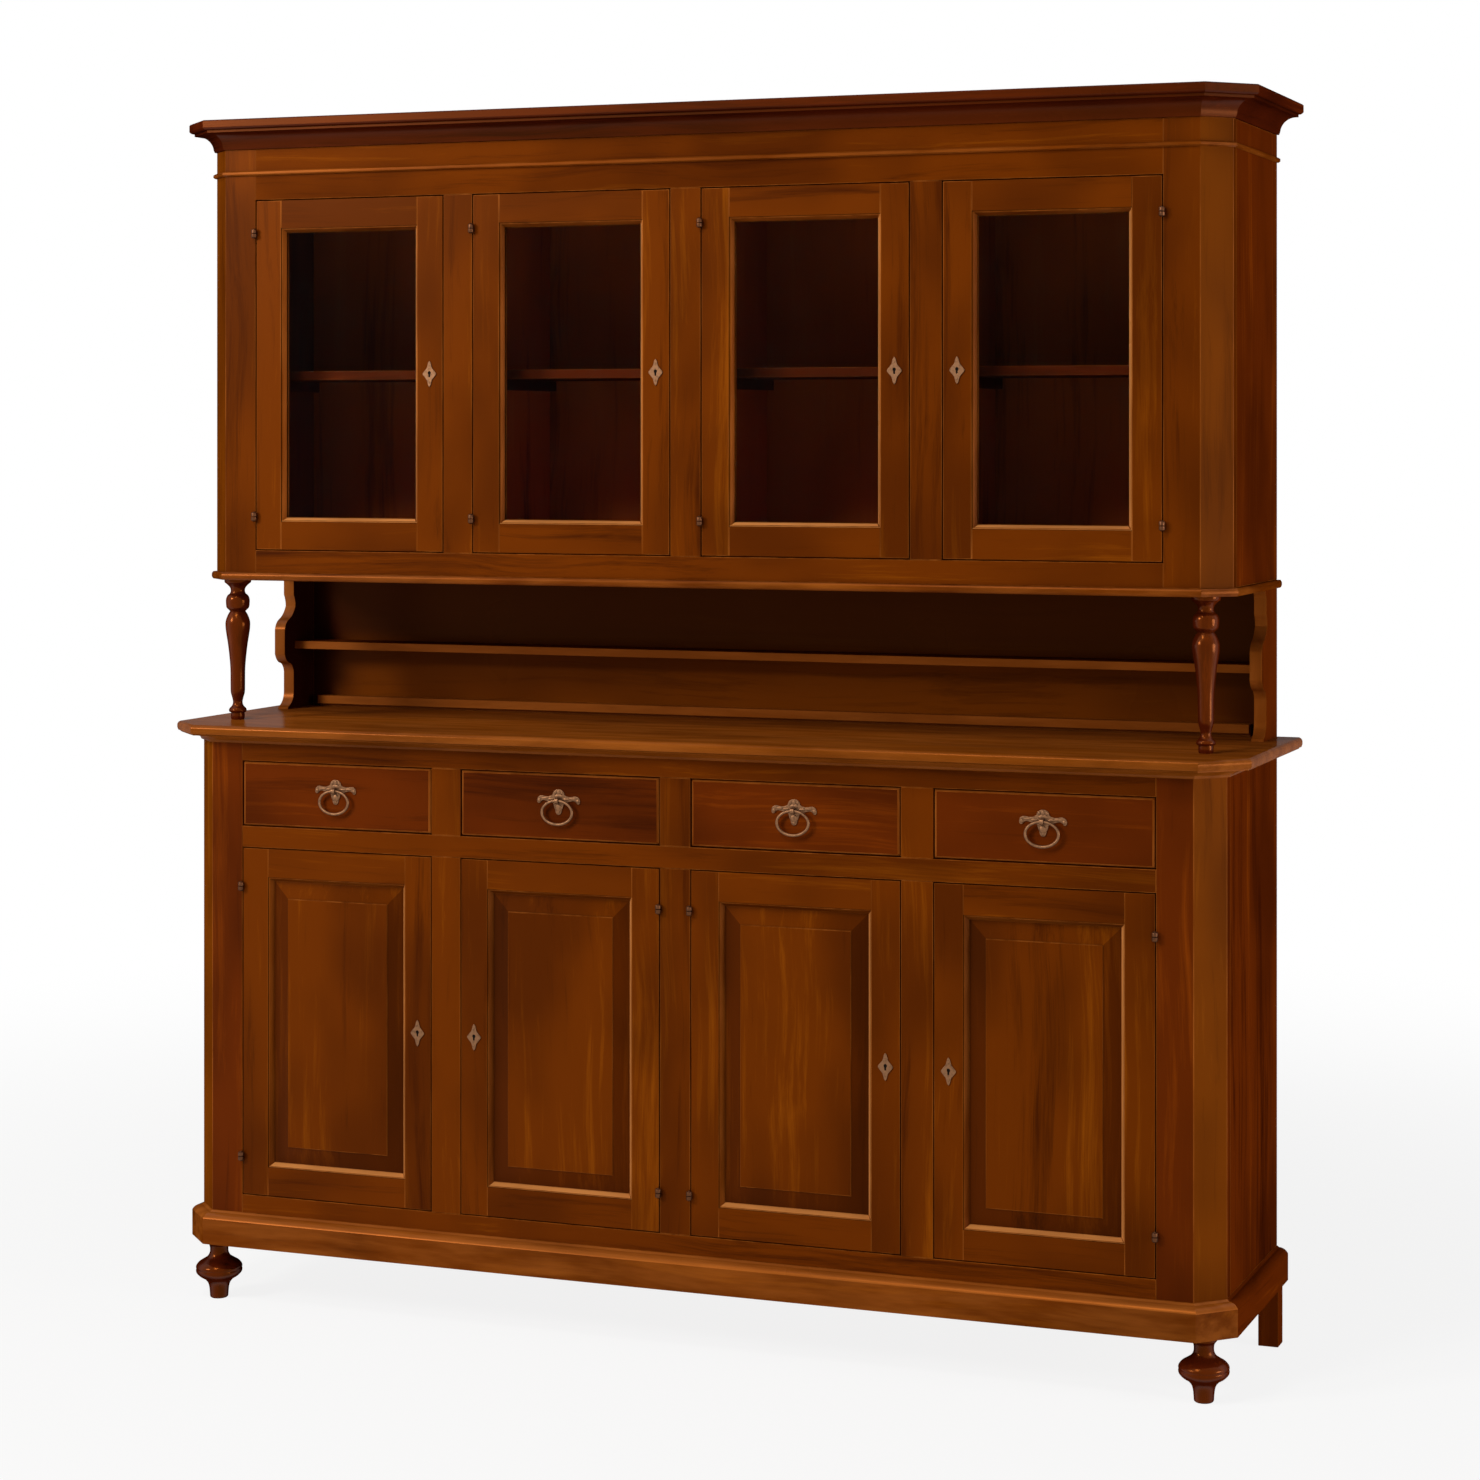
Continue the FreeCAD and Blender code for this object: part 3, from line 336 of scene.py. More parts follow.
def wood(family, axis, worn=False):
    """Stained and varnished wood with its grain along X, Y or Z; worn is the rubbed edge, lighter
    as wear and as a painted highlight.
    """
    prefix, rough, level, shade, rubbed_off = FAMILIES[family]
    tints, _ = settings()
    dark, main, light = (tuple(getattr(tints, "%s_%s" % (prefix, part)))
                         for part in ("dark", "main", "light"))

    def pattern(graph, place, name, detail, roughness=0.5, bend=0.0):
        across, lengthwise = WAVES[name]
        scale = tuple(lengthwise if letter == axis else across for letter in "XYZ")
        return graph.noise(graph.vector("MULTIPLY", place, scale), 1, detail, roughness, bend)

    def build(graph):
        # Every board is cut from another place in the tree, and its grain drifts a little.
        spot = graph.add("ShaderNodeTexCoord", out="Object")
        chance = graph.add("ShaderNodeObjectInfo", out="Random")
        offset = graph.add("ShaderNodeCombineXYZ", None,
                           {0: chance * 3.1, 1: chance * 7.7, 2: chance * 5.3})
        drift = graph.noise(spot, 2.3, 1, out=1)
        drift = graph.vector("MULTIPLY", drift, (0.05, 0.05, 0.05))
        place = graph.vector("ADD", graph.vector("ADD", spot, offset), drift)

        # Grain, uneven stain, then painted shade where the open stage lies in shadow, and edges
        # rubbed by hands that are lightened as a painted highlight too.
        figure = pattern(graph, place, "figure", 3, 0.55, 0.6)
        streak = pattern(graph, place, "streak", 4, 0.6)
        pores = pattern(graph, place, "pores", 2)
        tint = graph.add("ShaderNodeValToRGB", {"stops": (
            (0.31, dark), (0.46, main), (0.55, main), (0.7, light))},
            {0: figure * 0.5 + streak * 0.38 + pores * 0.12})
        blotch = pattern(graph, place, "blotch", 2, 0.6).between(0.38, 0.68)
        tint = graph.mix(blotch * (0.3 if family == "inner" else 0.55), tint, dark)
        # Painted shade where the open stage and the brackets' inner faces lie in shadow.
        for amount in painted_shade_parts(graph, family, spot):
            tint = graph.mix(amount, tint, tuple(tints.painted_shade))
        # Rubbed-off stain: wear, and also a painted highlight on edges and mouldings.
        if worn or rubbed_off:
            rubbed = pattern(graph, place, "rubbing", 3, 0.6).between(0.3, 0.75)
            amount = rubbed * 0.6 + 0.06 if worn else rubbed * 0.4 + (rubbed_off - 0.2)
            tint = graph.mix(amount, tint, tuple(tints.bead if family == "bead" else tints.worn))

        # Old polish and painted shade in the corners, and a surface that follows the streaks and
        # pores.
        corner = graph.add("ShaderNodeAmbientOcclusion", {"samples": 6, "only_local": True},
                           {"Distance": 45 * MM}, out=1)
        painted_shade_hollow = (1 - corner) ** 0.7
        smudge = graph.noise(place, 5, 3)
        surface = {
            "Base Color": graph.mix(painted_shade_hollow * shade, tint, tuple(tints.crevice_polish_and_shade)),
            "Roughness": smudge * 0.16 + painted_shade_hollow * 0.2 + (rough - 0.08),
            "Normal": graph.add("ShaderNodeBump", None, {
                "Strength": 0.16, "Distance": 0.4 * MM, "Height": streak * 0.4 + pores * 0.6})}
        polished = graph.add("ShaderNodeBsdfPrincipled", None, {
            **surface, "Specular IOR Level": level, "Specular Tint": (*tints.sheen, 1)})
        if family == "bead":
            graph.finish(polished)
            return
        matt = graph.add("ShaderNodeBsdfPrincipled", None, {**surface, "Specular IOR Level": 0.0})
        slant = graph.add("ShaderNodeLayerWeight", None, {"Blend": 0.5}, out="Facing")
        graph.finish(graph.add("ShaderNodeMixShader", None, {
            0: slant.between(0.25, 0.6) * (0.88 if family == "top" else 1), 1: polished, 2: matt}))

    return new_material("%s_wood_%s%s" % (family, axis.lower(), "_worn" if worn else ""), build)


def metal(name, clean, aged, rough):
    """Cast metal, rubbed bright where it stands out and aged in its hollows."""
    def build(graph):
        place = graph.add("ShaderNodeTexCoord", out="Object")
        cloud = graph.noise(place, 210, 4, 0.6)
        fine = graph.noise(place, 1400, 2)
        corner = graph.add("ShaderNodeAmbientOcclusion", {"samples": 6, "only_local": True},
                           {"Distance": 5 * MM}, out=1)
        age = cloud.between(0.42, 0.72) * 0.5 + (1 - corner) * 0.9
        bump = graph.add("ShaderNodeBump", None, {
            "Strength": 0.25, "Distance": 0.2 * MM, "Height": cloud * 0.7 + fine * 0.3})
        graph.finish(graph.add("ShaderNodeBsdfPrincipled", None, {
            "Base Color": graph.mix(age, clean, aged), "Metallic": 1 - age * 0.35,
            "Roughness": age * 0.25 + rough, "Normal": bump}))
    return new_material(name, build)


def brass():
    _, metals = settings()
    return metal("aged_brass", tuple(metals.brass), tuple(metals.tarnish), 0.42)


def bronze():
    _, metals = settings()
    return metal("dark_bronze", tuple(metals.bronze_rub), tuple(metals.bronze), 0.38)


def lock_hollow():
    """Painted shade: a dark sheet behind the keyhole stands in for the shade inside the hole."""
    def build(graph):
        place = graph.add("ShaderNodeTexCoord", out="Object")
        dust = graph.noise(place, 900, 3)
        graph.finish(graph.add("ShaderNodeBsdfPrincipled", None, {
            "Base Color": graph.mix(dust, paint(8, 5, 3), paint(26, 17, 10)),
            "Roughness": dust * 0.2 + 0.7, "Specular IOR Level": 0.1}))
    return new_material("lock_hollow", build)


def pane_glass():
    """Clear old glass: a faint wave, a patchy film of dust and more gloss at a slant."""
    def build(graph):
        place = graph.add("ShaderNodeTexCoord", out="Object")
        wave = graph.noise(place, 7, 2)
        film = graph.noise(place, 34, 4, 0.6).between(0.45, 0.8)
        slant = graph.add("ShaderNodeLayerWeight", None, {"Blend": 0.25}, out=1)
        bump = graph.add("ShaderNodeBump", None, {
            "Strength": 0.08, "Distance": 1 * MM, "Height": wave})
        graph.finish(graph.add("ShaderNodeBsdfPrincipled", None, {
            "Base Color": graph.mix(film, paint(18, 16, 14), paint(52, 48, 42)),
            "Roughness": film * 0.12 + 0.04, "Alpha": slant * 0.2 + film * 0.015 + 0.015,
            "Normal": bump, "Specular IOR Level": 0.3}))
    return new_material("pane_glass", build)


# ----------------------------------------------------------------------------------------------
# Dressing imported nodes
# ----------------------------------------------------------------------------------------------
def dress(node, choose, edge="case", arris=None, bend=32, measure="OFFSET"):
    """Give each face the wood of its board, then ease the edges with a rubbed arris, lighter as
    wear and as a painted highlight.

    choose(centre) names the family and the grain's axis, such as ("case", "Z"). Edges that turn
    by more than bend degrees are eased; measure says how the arris is counted.
    """
    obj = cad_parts[node]
    sizes = bpy.context.scene.dresser_sizes
    obj.data.materials.clear()
    slots = {}
    for face in obj.data.polygons:
        key = choose(face.center)
        if key not in slots:
            slots[key] = len(slots)
            obj.data.materials.append(wood(*key))
        face.material_index = slots[key]
    # The eased edges' colour: wear and a painted highlight.
    obj.data.materials.append(wood(edge, "Z", worn=edge != "inner"))
    weld = obj.modifiers.new("Joined faces", "WELD")
    weld.merge_threshold = 0.01 * MM
    ease = obj.modifiers.new("Eased edges", "BEVEL")
    ease.width = sizes.arris if arris is None else arris
    ease.segments = sizes.arris_steps
    ease.limit_method = "ANGLE"
    ease.angle_limit = math.radians(bend)
    ease.offset_type = measure
    ease.material = len(slots)
    split = obj.modifiers.new("Crisp joints", "EDGE_SPLIT")
    split.split_angle = math.radians(34)
    split.use_edge_sharp = False
    normals = obj.modifiers.new("Flat faces", "WEIGHTED_NORMAL")
    normals.keep_sharp = False
    return obj


def always(family, axis):
    return lambda centre: (family, axis)


def run_around(family, beside=None):
    """Grain along the front lengths, and along Y on the side lengths, which may differ."""
    low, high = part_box("base_corner_posts")
    side = high.x - 12 * MM
    behind_the_cant = low.y + CANT + 4 * MM

    def choose(c):
        if abs(c.x) > side and c.y > behind_the_cant:
            return (beside or family, "Y")
        return (family, "X")
    return choose


def rails_and_stiles(levels, frieze=math.inf):
    """Grain along the rails between the given heights and upright elsewhere; a duller frieze."""
    def choose(c):
        level = any(low < c.z < high for low, high in levels)
        return ("frieze" if c.z > frieze else "case", "X" if level else "Z")
    return choose


def posts(node, family):
    """Grain up the posts; their canted faces get the bleached tints as a painted highlight."""
    low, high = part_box(node)
    off_the_cant = 6 * MM
    off_its_ends = 10 * MM

    def choose(c):
        inward = high.x - abs(c.x)
        back = c.y - low.y
        # Canted faces: painted highlight.
        canted = abs(inward + back - CANT) < off_the_cant and min(inward, back) > off_its_ends
        return ("cant" if canted else family, "Z")
    return choose


def door_grain(node):
    """Upright stiles, level rails, a moulding with a painted highlight along its right and lower
    lengths, and painted shade on all but the top bevel of the field.
    """
    low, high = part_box(node)
    moulding = DOOR_STILE + 8.5 * MM
    moulding_back = low.y + 11.2 * MM

    def choose(c):
        side = min(c.x - low.x, high.x - c.x)
        end = min(c.z - low.z, high.z - c.z)
        inward = min(side, end)
        upper = c.z > (low.z + high.z) / 2
        if side < DOOR_STILE + HAIR:
            return ("case", "Z")
        if end < DOOR_STILE + HAIR:
            return ("case", "X")
        if inward < moulding and c.y < moulding_back:
            # Right and lower lengths: painted highlight; the left and upper lengths stay darker.
            if side < end:
                return ("bead" if c.x > (low.x + high.x) / 2 else "lip", "Z")
            return ("lip" if upper else "bead", "X")
        # Painted shade on the left, right and lower bevels; the top bevel keeps the case colour.
        if inward < moulding + PANEL_BEVEL:
            return ("case" if end < side and upper else "bevel", "Z")
        return ("case", "Z")
    return choose


def drawer_grain(node):
    """A stained front with a rubbed bevel, lighter as wear and as a painted highlight, and plain
    wood behind it.
    """
    low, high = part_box(node)
    bevel_start = 0.5 * MM
    front_end = DRAWER_FRONT - 1 * MM
    rear = high.y - 1 * MM

    def choose(c):
        behind = c.y - low.y
        if behind < front_end:
            return ("edge" if bevel_start < behind < DRAWER_BEVEL else "post", "X")
        beside = min(c.x - low.x, high.x - c.x) < DRAWER_SIDE
        return ("inner", "Y" if beside and c.y < rear else "X")
    return choose


def bracket_grain(node):
    """Painted shade on the faces towards the open stage, and sawn edges rubbed lighter as wear and
    as a painted highlight.
    """
    low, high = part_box(node)
    outer_face, inner_face = 3 * MM, 15 * MM
    rear = high.y - 10 * MM
    foot, top = low.z + 1 * MM, high.z - 1 * MM

    def choose(c):
        inward = high.x - abs(c.x)
        # Faces towards the open stage: painted shade.
        if inward > inner_face:
            return ("shade", "Z")
        sawn = inward > outer_face and c.y < rear and foot < c.z < top
        # Sawn edges: rubbed lighter, as wear and as a painted highlight.
        return ("edge" if sawn else "post", "Z")
    return choose


# ----------------------------------------------------------------------------------------------
# Building new pieces
# ----------------------------------------------------------------------------------------------
def add_piece(name, mesh, body, materials, smooth=math.radians(38)):
    """Turn a bmesh into a named piece that rides on a body."""
    data = bpy.data.meshes.new(name)
    bmesh.ops.recalc_face_normals(mesh, faces=mesh.faces)
    mesh.to_mesh(data)
    mesh.free()
    for material in materials:
        data.materials.append(material)
    data.shade_smooth()
    data.set_sharp_from_angle(angle=smooth)
    obj = bpy.data.objects.new(name, data)
    bpy.context.scene.collection.objects.link(obj)
    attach(obj, body)
    return obj


def flow(points, steps=5):
    """A profile through (radius, height, corner); between corners it runs as a smooth curve."""
    line = []
    start = 0
    while start < len(points) - 1:
        end = start + 1
        while not points[end][2]:
            end += 1
        run = [Vector(p[:2]) for p in points[start:end + 1]]
        if len(run) == 2:
            line += run[:1]
        else:
            run = [run[0] * 2 - run[1]] + run + [run[-1] * 2 - run[-2]]
            for a, b, c, d in zip(run, run[1:], run[2:], run[3:]):
                for i in range(steps):
                    t = i / steps
                    line.append(0.5 * (2 * b + (c - a) * t + (2 * a - 5 * b + 4 * c - d) * t ** 2
                                       + (3 * b - a - 3 * c + d) * t ** 3))
        start = end
    line.append(Vector(points[-1][:2]))
    return line


def turn(mesh, profile, place, steps, material=0, closed=False):
    """Turn a profile of (radius, height) around the Z axis of a matrix."""
    rings = []
    for radius, height in profile:
        if radius < 1e-6:
            rings.append([mesh.verts.new(place @ Vector((0, 0, height)))])
            continue
        angles = [2 * math.pi * i / steps for i in range(steps)]
        rings.append([mesh.verts.new(place @ Vector((radius * math.cos(a), radius * math.sin(a),
                                                     height))) for a in angles])
    pairs = list(zip(rings, rings[1:]))
    if closed:
        pairs.append((rings[-1], rings[0]))
    for lower, upper in pairs:
        for i in range(steps):
            corners = []
            for vert in (lower[i % len(lower)], lower[(i + 1) % len(lower)],
                         upper[(i + 1) % len(upper)], upper[i % len(upper)]):
                if vert not in corners:
                    corners.append(vert)
            if len(corners) > 2:
                mesh.faces.new(corners).material_index = material


def turned_pair(context, node, name, profile):
    """Turn the left and the right piece of a node from a profile of radii in mm and heights."""
    low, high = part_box(node)
    radius = (high.y - low.y) / 2
    line = [(p[0] * MM, p[1] * (high.z - low.z)) for p in flow(profile)]
    mesh = bmesh.new()
    for x in (low.x + radius, high.x - radius):
        turn(mesh, line, Matrix.Translation((x, low.y + radius, low.z)),
             context.scene.dresser_sizes.turning_steps)
    return add_piece(name, mesh, "carcass", [wood("turned", "Z")])


def bead(mesh, place, size, material=0, steps=20):
    """A rounded boss: a flattened ball of the given half sizes."""
    arc = [(math.sin(math.pi * i / 10), -math.cos(math.pi * i / 10)) for i in range(11)]
    arc[0], arc[-1] = (0, -1), (0, 1)
    turn(mesh, arc, place @ Matrix.Diagonal((*size, 1)), steps, material)


def in_metres(points):
    return [(x * MM, z * MM) for x, z in points]


def both_halves(right):
    """The whole outline, from the right half that starts and ends on the middle line."""
    return in_metres(right) + [(-x, z) for x, z in in_metres(right)[-2:0:-1]]


def sawn_plate(mesh, outlines, thick, soft, place, material=0):
    """A flat plate in the XZ plane of a matrix, with softened edges and optional holes."""
    curve = bpy.data.curves.new("plate_outline", "CURVE")
    curve.dimensions = "2D"
    curve.fill_mode = "BOTH"
    curve.extrude = thick / 2 - soft
    curve.bevel_depth = soft
    curve.bevel_resolution = 2
    curve.offset = -soft
    for outline in outlines:
        spline = curve.splines.new("POLY")
        spline.points.add(len(outline) - 1)
        for point, (x, z) in zip(spline.points, outline):
            point.co = (x, z, 0, 1)
        spline.use_cyclic_u = True
    obj = bpy.data.objects.new("plate_outline", curve)
    bpy.context.scene.collection.objects.link(obj)
    graph = bpy.context.evaluated_depsgraph_get()
    flat = bpy.data.meshes.new_from_object(obj.evaluated_get(graph))
    bpy.data.objects.remove(obj)
    flat.transform(place @ Matrix.Rotation(math.pi / 2, 4, "X"))
    old = set(mesh.faces)
    mesh.from_mesh(flat)
    for face in mesh.faces:
        if face not in old:
            face.material_index = material
    bpy.data.meshes.remove(flat)


def bar(mesh, low, high, soft, material=0):
    """A small bar with eased edges, made by itself and then joined to the mesh."""
    own = bmesh.new()
    bmesh.ops.create_cube(own, size=1)
    size = high - low
    for vert in own.verts:
        vert.co = Vector((low[i] + (vert.co[i] + 0.5) * size[i] for i in range(3)))
    bmesh.ops.bevel(own, geom=own.edges[:], offset=soft, segments=2, affect="EDGES")
    for face in own.faces:
        face.material_index = material
    data = bpy.data.meshes.new("bar")
    own.to_mesh(data)
    own.free()
    mesh.from_mesh(data)
    bpy.data.meshes.remove(data)


# ----------------------------------------------------------------------------------------------
# Pieces
# ----------------------------------------------------------------------------------------------
class DRESSER_OT_lower_case(Operator):
    """Dress the posts, frame, sides and inside of the lower case"""
    bl_idname = "dresser.lower_case"
    bl_label = "Lower case"

    def execute(self, context):
        low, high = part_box("base_face_frame")
        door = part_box("cupboard_door_1_woodwork")
        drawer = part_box("drawer_1_box")
        levels = ((low.z, door[0].z - DOOR_GAP / 2), (door[1].z, drawer[0].z - DOOR_GAP / 2),
                  (drawer[1].z, high.z))
        dress("base_face_frame", rails_and_stiles(levels))
        dress("base_corner_posts", posts("base_corner_posts", "post"))
        for node in ("base_sides", "rear_feet"):
            dress(node, always("post", "Z"))
        for node, axis in (("base_back", "Z"), ("base_partitions", "Z"), ("base_boards", "X"),
                           ("base_shelves", "X"), ("drawer_runners", "Y")):
            dress(node, always("inner", axis), edge="inner", arris=FINE_ARRIS, measure="WIDTH")
        return {"FINISHED"}


class DRESSER_OT_upper_case(Operator):
    """Dress the posts, frame, sides and inside of the upper case"""
    bl_idname = "dresser.upper_case"
    bl_label = "Upper case"

    def execute(self, context):
        low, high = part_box("hutch_face_frame")
        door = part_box("glazed_door_1_woodwork")
        top_rail = door[1].z + DOOR_GAP / 2
        levels = ((low.z, door[0].z - DOOR_GAP / 2), (top_rail, high.z))
        dress("hutch_face_frame", rails_and_stiles(levels, top_rail))
        dress("hutch_corner_posts", posts("hutch_corner_posts", "case"))
        dress("hutch_sides", always("post", "Z"))
        for node, axis in (("hutch_boards", "X"), ("hutch_partitions", "Z")):
            dress(node, always("inner", axis), edge="inner", arris=FINE_ARRIS, measure="WIDTH")
        dress("hutch_shelves", always("shelf", "X"), arris=FINE_ARRIS, measure="WIDTH")
        return {"FINISHED"}


class DRESSER_OT_mouldings(Operator):
    """Dress the plinth, worktop, moulded board, bead and cornice"""
    bl_idname = "dresser.mouldings"
    bl_label = "Mouldings"

    def execute(self, context):
        dress("worktop", always("top", "X"))
        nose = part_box("plinth")[1].z - PLINTH_NOSE
        # The plinth's side lengths take the darker post colours: painted shade.
        skirt = run_around("plinth", "post")
        # The plinth's front nose takes the rubbed edge colour, as wear and as a painted highlight.
        rubbed = run_around("edge", "post")
        dress("plinth", lambda c: (rubbed if c.z > nose else skirt)(c),
              arris=MOULDING_ARRIS, bend=25)
        dress("cornice", run_around("cornice"), arris=MOULDING_ARRIS)
        dress("hutch_lip", run_around("lip"), arris=MOULDING_ARRIS)
        dress("frieze_bead", run_around("lip"), arris=FINE_ARRIS, measure="WIDTH")
        return {"FINISHED"}


class DRESSER_OT_open_stage(Operator):
    """Dress the back panels, open shelf and scroll brackets"""
    bl_idname = "dresser.open_stage"
    bl_label = "Open stage"

    def execute(self, context):
        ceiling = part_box("hutch_lip")[0].z
        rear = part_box("back_panels")[1].y - 1 * MM
        # The stage's front boards take the painted shade of the stage family.
        dress("back_panels", lambda c: ("stage", "X") if c.z < ceiling and c.y < rear
              else ("inner", "Z"))

        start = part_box("open_shelf")[0]
        shelf_front = start.y + 1 * MM
        above_rail = start.z + 50 * MM
        # The shelf's front edge and the low rail are rubbed lighter, as wear and as a painted
        # highlight.
        dress("open_shelf", lambda c: (
            "edge" if c.y < shelf_front or c.z < above_rail else "case", "X"),
            arris=FINE_ARRIS, measure="WIDTH")
        dress("scroll_brackets", bracket_grain("scroll_brackets"))
        return {"FINISHED"}


class DRESSER_OT_doors(Operator):
    """Dress the four cupboard doors and the four glazed doors"""
    bl_idname = "dresser.doors"
    bl_label = "Doors"

    def execute(self, context):
        for kind in ("cupboard", "glazed"):
            for bay in BAYS:
                node = "%s_door_%d_woodwork" % (kind, bay)
                dress(node, door_grain(node), arris=DOOR_ARRIS)
        for bay in BAYS:
            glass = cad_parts["glazed_door_%d_glass" % bay]
            glass.data.materials.clear()
            glass.data.materials.append(pane_glass())
        return {"FINISHED"}


class DRESSER_OT_drawers(Operator):
    """Dress the four drawers: stained front, plain sides and bottom"""
    bl_idname = "dresser.drawers"
    bl_label = "Drawers"

    def execute(self, context):
        for bay in BAYS:
            node = "drawer_%d_box" % bay
            dress(node, drawer_grain(node))
        return {"FINISHED"}


class DRESSER_OT_feet(Operator):
    """Turn the two bulbous front feet"""
    bl_idname = "dresser.feet"
    bl_label = "Front feet"

    # Radius in mm, share of the height, corner or not.
    profile = ((0, 0, 1), (14.5, 0, 1), (16.6, 0.02, 0), (17.2, 0.08, 0), (18.2, 0.17, 0),
               (20.6, 0.245, 0), (26.5, 0.31, 0), (35.6, 0.362, 0), (41.4, 0.415, 0),
               (42.9, 0.455, 0), (42.2, 0.487, 1), (42.9, 0.515, 0), (41.6, 0.548, 0),
               (37.2, 0.592, 0), (29.5, 0.635, 0), (21.6, 0.684, 0), (17.6, 0.745, 0),
               (16.9, 0.81, 0), (18.1, 0.868, 0), (21, 0.905, 1), (22, 0.915, 1), (22, 1, 1),
               (0, 1, 1))

    def execute(self, context):
        piece = turned_pair(context, "front_feet", "turned_front_feet", self.profile)
        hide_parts("front_feet")
        return {"FINISHED"}


class DRESSER_OT_columns(Operator):
    """Turn the two columns that carry the upper case"""
    bl_idname = "dresser.columns"
    bl_label = "Columns"

    # Radius in mm, share of the height, corner or not.
    profile = ((0, 0, 1), (11.8, 0, 1), (13, 0.02, 0), (12.6, 0.05, 1), (15.4, 0.054, 1),
               (16.6, 0.066, 0), (15.4, 0.08, 1), (10.6, 0.1, 0), (8.9, 0.125, 0),
               (10.4, 0.155, 0), (13.1, 0.195, 0), (13.5, 0.25, 0), (13.8, 0.36, 0),
               (15.6, 0.45, 0), (18.4, 0.54, 0), (21.3, 0.61, 0), (22.9, 0.66, 0),
               (22.6, 0.7, 0), (18.8, 0.742, 0), (14.4, 0.77, 1), (16.2, 0.778, 1),
               (20.8, 0.797, 0), (22, 0.825, 0), (22, 0.855, 0), (19.6, 0.88, 0),
               (14.6, 0.897, 1), (13.2, 0.915, 0), (14.4, 0.938, 0), (20, 0.962, 0),
               (24.2, 0.974, 1), (24.9, 0.982, 1), (24.9, 1, 1), (0, 1, 1))

    def execute(self, context):
        piece = turned_pair(context, "columns", "turned_columns", self.profile)
        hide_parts("columns")
        return {"FINISHED"}


class DRESSER_OT_pulls(Operator):
    """Cast the four drawer pulls: winged plate, eye and hanging ring"""
    bl_idname = "dresser.pulls"
    bl_label = "Drawer pulls"

    # Right half of the plate's outline in mm, from the tip of the drop to the crest.
    outline = ((0, -26), (3.2, -25), (5.6, -21.6), (6.4, -17), (8.6, -12.4), (9.6, -8.6),
               (10.6, -5.4), (16, -3.6), (23, -1.6), (28.5, -0.2), (32, -0.8), (34.4, -3),
               (36.6, -5.6), (39.8, -6), (41.8, -3.6), (42, 0), (40.6, 4.4), (37, 7.4),
               (32, 8.2), (26, 6.8), (20, 6.6), (14.6, 8), (11.4, 10.4), (10.6, 14),
               (8.2, 17.2), (4.4, 19.2), (0, 20))

    # Rounded bosses on the plate in mm: x, z, half width, half depth and half height.
    middle_bosses = ((0, -13.6, 6.4, 1.7, 6.8), (0, -21.4, 2.8, 1.1, 3), (0, 14, 3.4, 1.5, 4.8),
                     (0, 7, 8.6, 1.3, 4.2))
    side_bosses = ((37.4, -0.4, 3.4, 1.6, 3.6), (27, 3.2, 7.6, 1.1, 2.2), (15, 2, 6.4, 1.2, 2.6),
                   (6.6, 13.4, 2.3, 1.1, 3.4))
    # Eye of the ring: radius and place along its axis in mm.
    knuckle = ((3.3, -3.5), (4.9, -3.5), (5.5, -2.9), (5.5, 2.9), (4.9, 3.5), (3.3, 3.5))
    # Crest above the ring's axis, the axis off the plate, and the ring itself.
    crest = 20 * MM
    stand = 8.5 * MM
    ring_half_width = 29.4 * MM
    ring_half_height = 21.2 * MM
    thickest_wire = 5.5 * MM

    def plate(self, context, bay):
        thick = context.scene.dresser_sizes.plate
        low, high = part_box("drawer_%d_plate" % bay)
        place = Matrix.Translation(((low.x + high.x) / 2, high.y, high.z - self.crest))
        mesh = bmesh.new()
        sawn_plate(mesh, [both_halves(self.outline)], thick, 0.6 * MM,
                   place @ Matrix.Translation((0, -thick / 2, 0)))
        bosses = list(self.middle_bosses)
        for side in (-1, 1):
            bosses += [(side * boss[0], *boss[1:]) for boss in self.side_bosses]
        for x, z, wide, deep, tall in bosses:
            bead(mesh, place @ Matrix.Translation((x * MM, -thick, z * MM)),
                 (wide * MM, deep * MM, tall * MM))
        eye = place @ Matrix.Translation((0, -self.stand, 0)) @ Matrix.Rotation(math.pi / 2, 4, "Y")
        turn(mesh, in_metres(self.knuckle), eye, 28, closed=True)
        bar(mesh, place @ Vector((-3 * MM, -4 * MM, -3 * MM)),
            place @ Vector((3 * MM, -1.6 * MM, 3 * MM)), 0.5 * MM)
        piece = add_piece("drawer_%d_pull_plate" % bay, mesh, "drawer_%d" % bay, [brass()])
        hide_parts("drawer_%d_plate" % bay)

    def ring(self, context, bay):
        sizes = context.scene.dresser_sizes
        wide, tall = self.ring_half_width, self.ring_half_height
        low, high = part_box("drawer_%d_ring" % bay)
        axis = Vector(((low.x + high.x) / 2, (low.y + high.y) / 2,
                       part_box("drawer_%d_plate" % bay)[1].z - self.crest))
        around, sides = 56, 14
        mesh = bmesh.new()
        loops = []
        for i in range(around):
            a = 2 * math.pi * i / around
            centre = axis + Vector((wide * math.sin(a), 0, tall * (math.cos(a) - 1)))
            out = Vector((math.sin(a) / wide, 0, math.cos(a) / tall)).normalized()
            swell = 1 + (sizes.ring_swell - 1) * (1 - math.cos(a)) / 2
            wire = min(sizes.ring_wire * swell, self.thickest_wire) / 2
            loops.append([mesh.verts.new(centre + wire * (
                math.cos(b) * out + math.sin(b) * Vector((0, 1, 0))))
                for b in (2 * math.pi * j / sides for j in range(sides))])
        for loop, following in zip(loops, loops[1:] + loops[:1]):
            for j in range(sides):
                after = (j + 1) % sides
                mesh.faces.new((loop[j], loop[after], following[after], following[j]))
        piece = add_piece("drawer_%d_pull_ring" % bay, mesh, "drawer_%d_pull" % bay,
                          [brass()])
        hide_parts("drawer_%d_ring" % bay)

    def execute(self, context):
        for bay in BAYS:
            self.plate(context, bay)
            self.ring(context, bay)
        return {"FINISHED"}


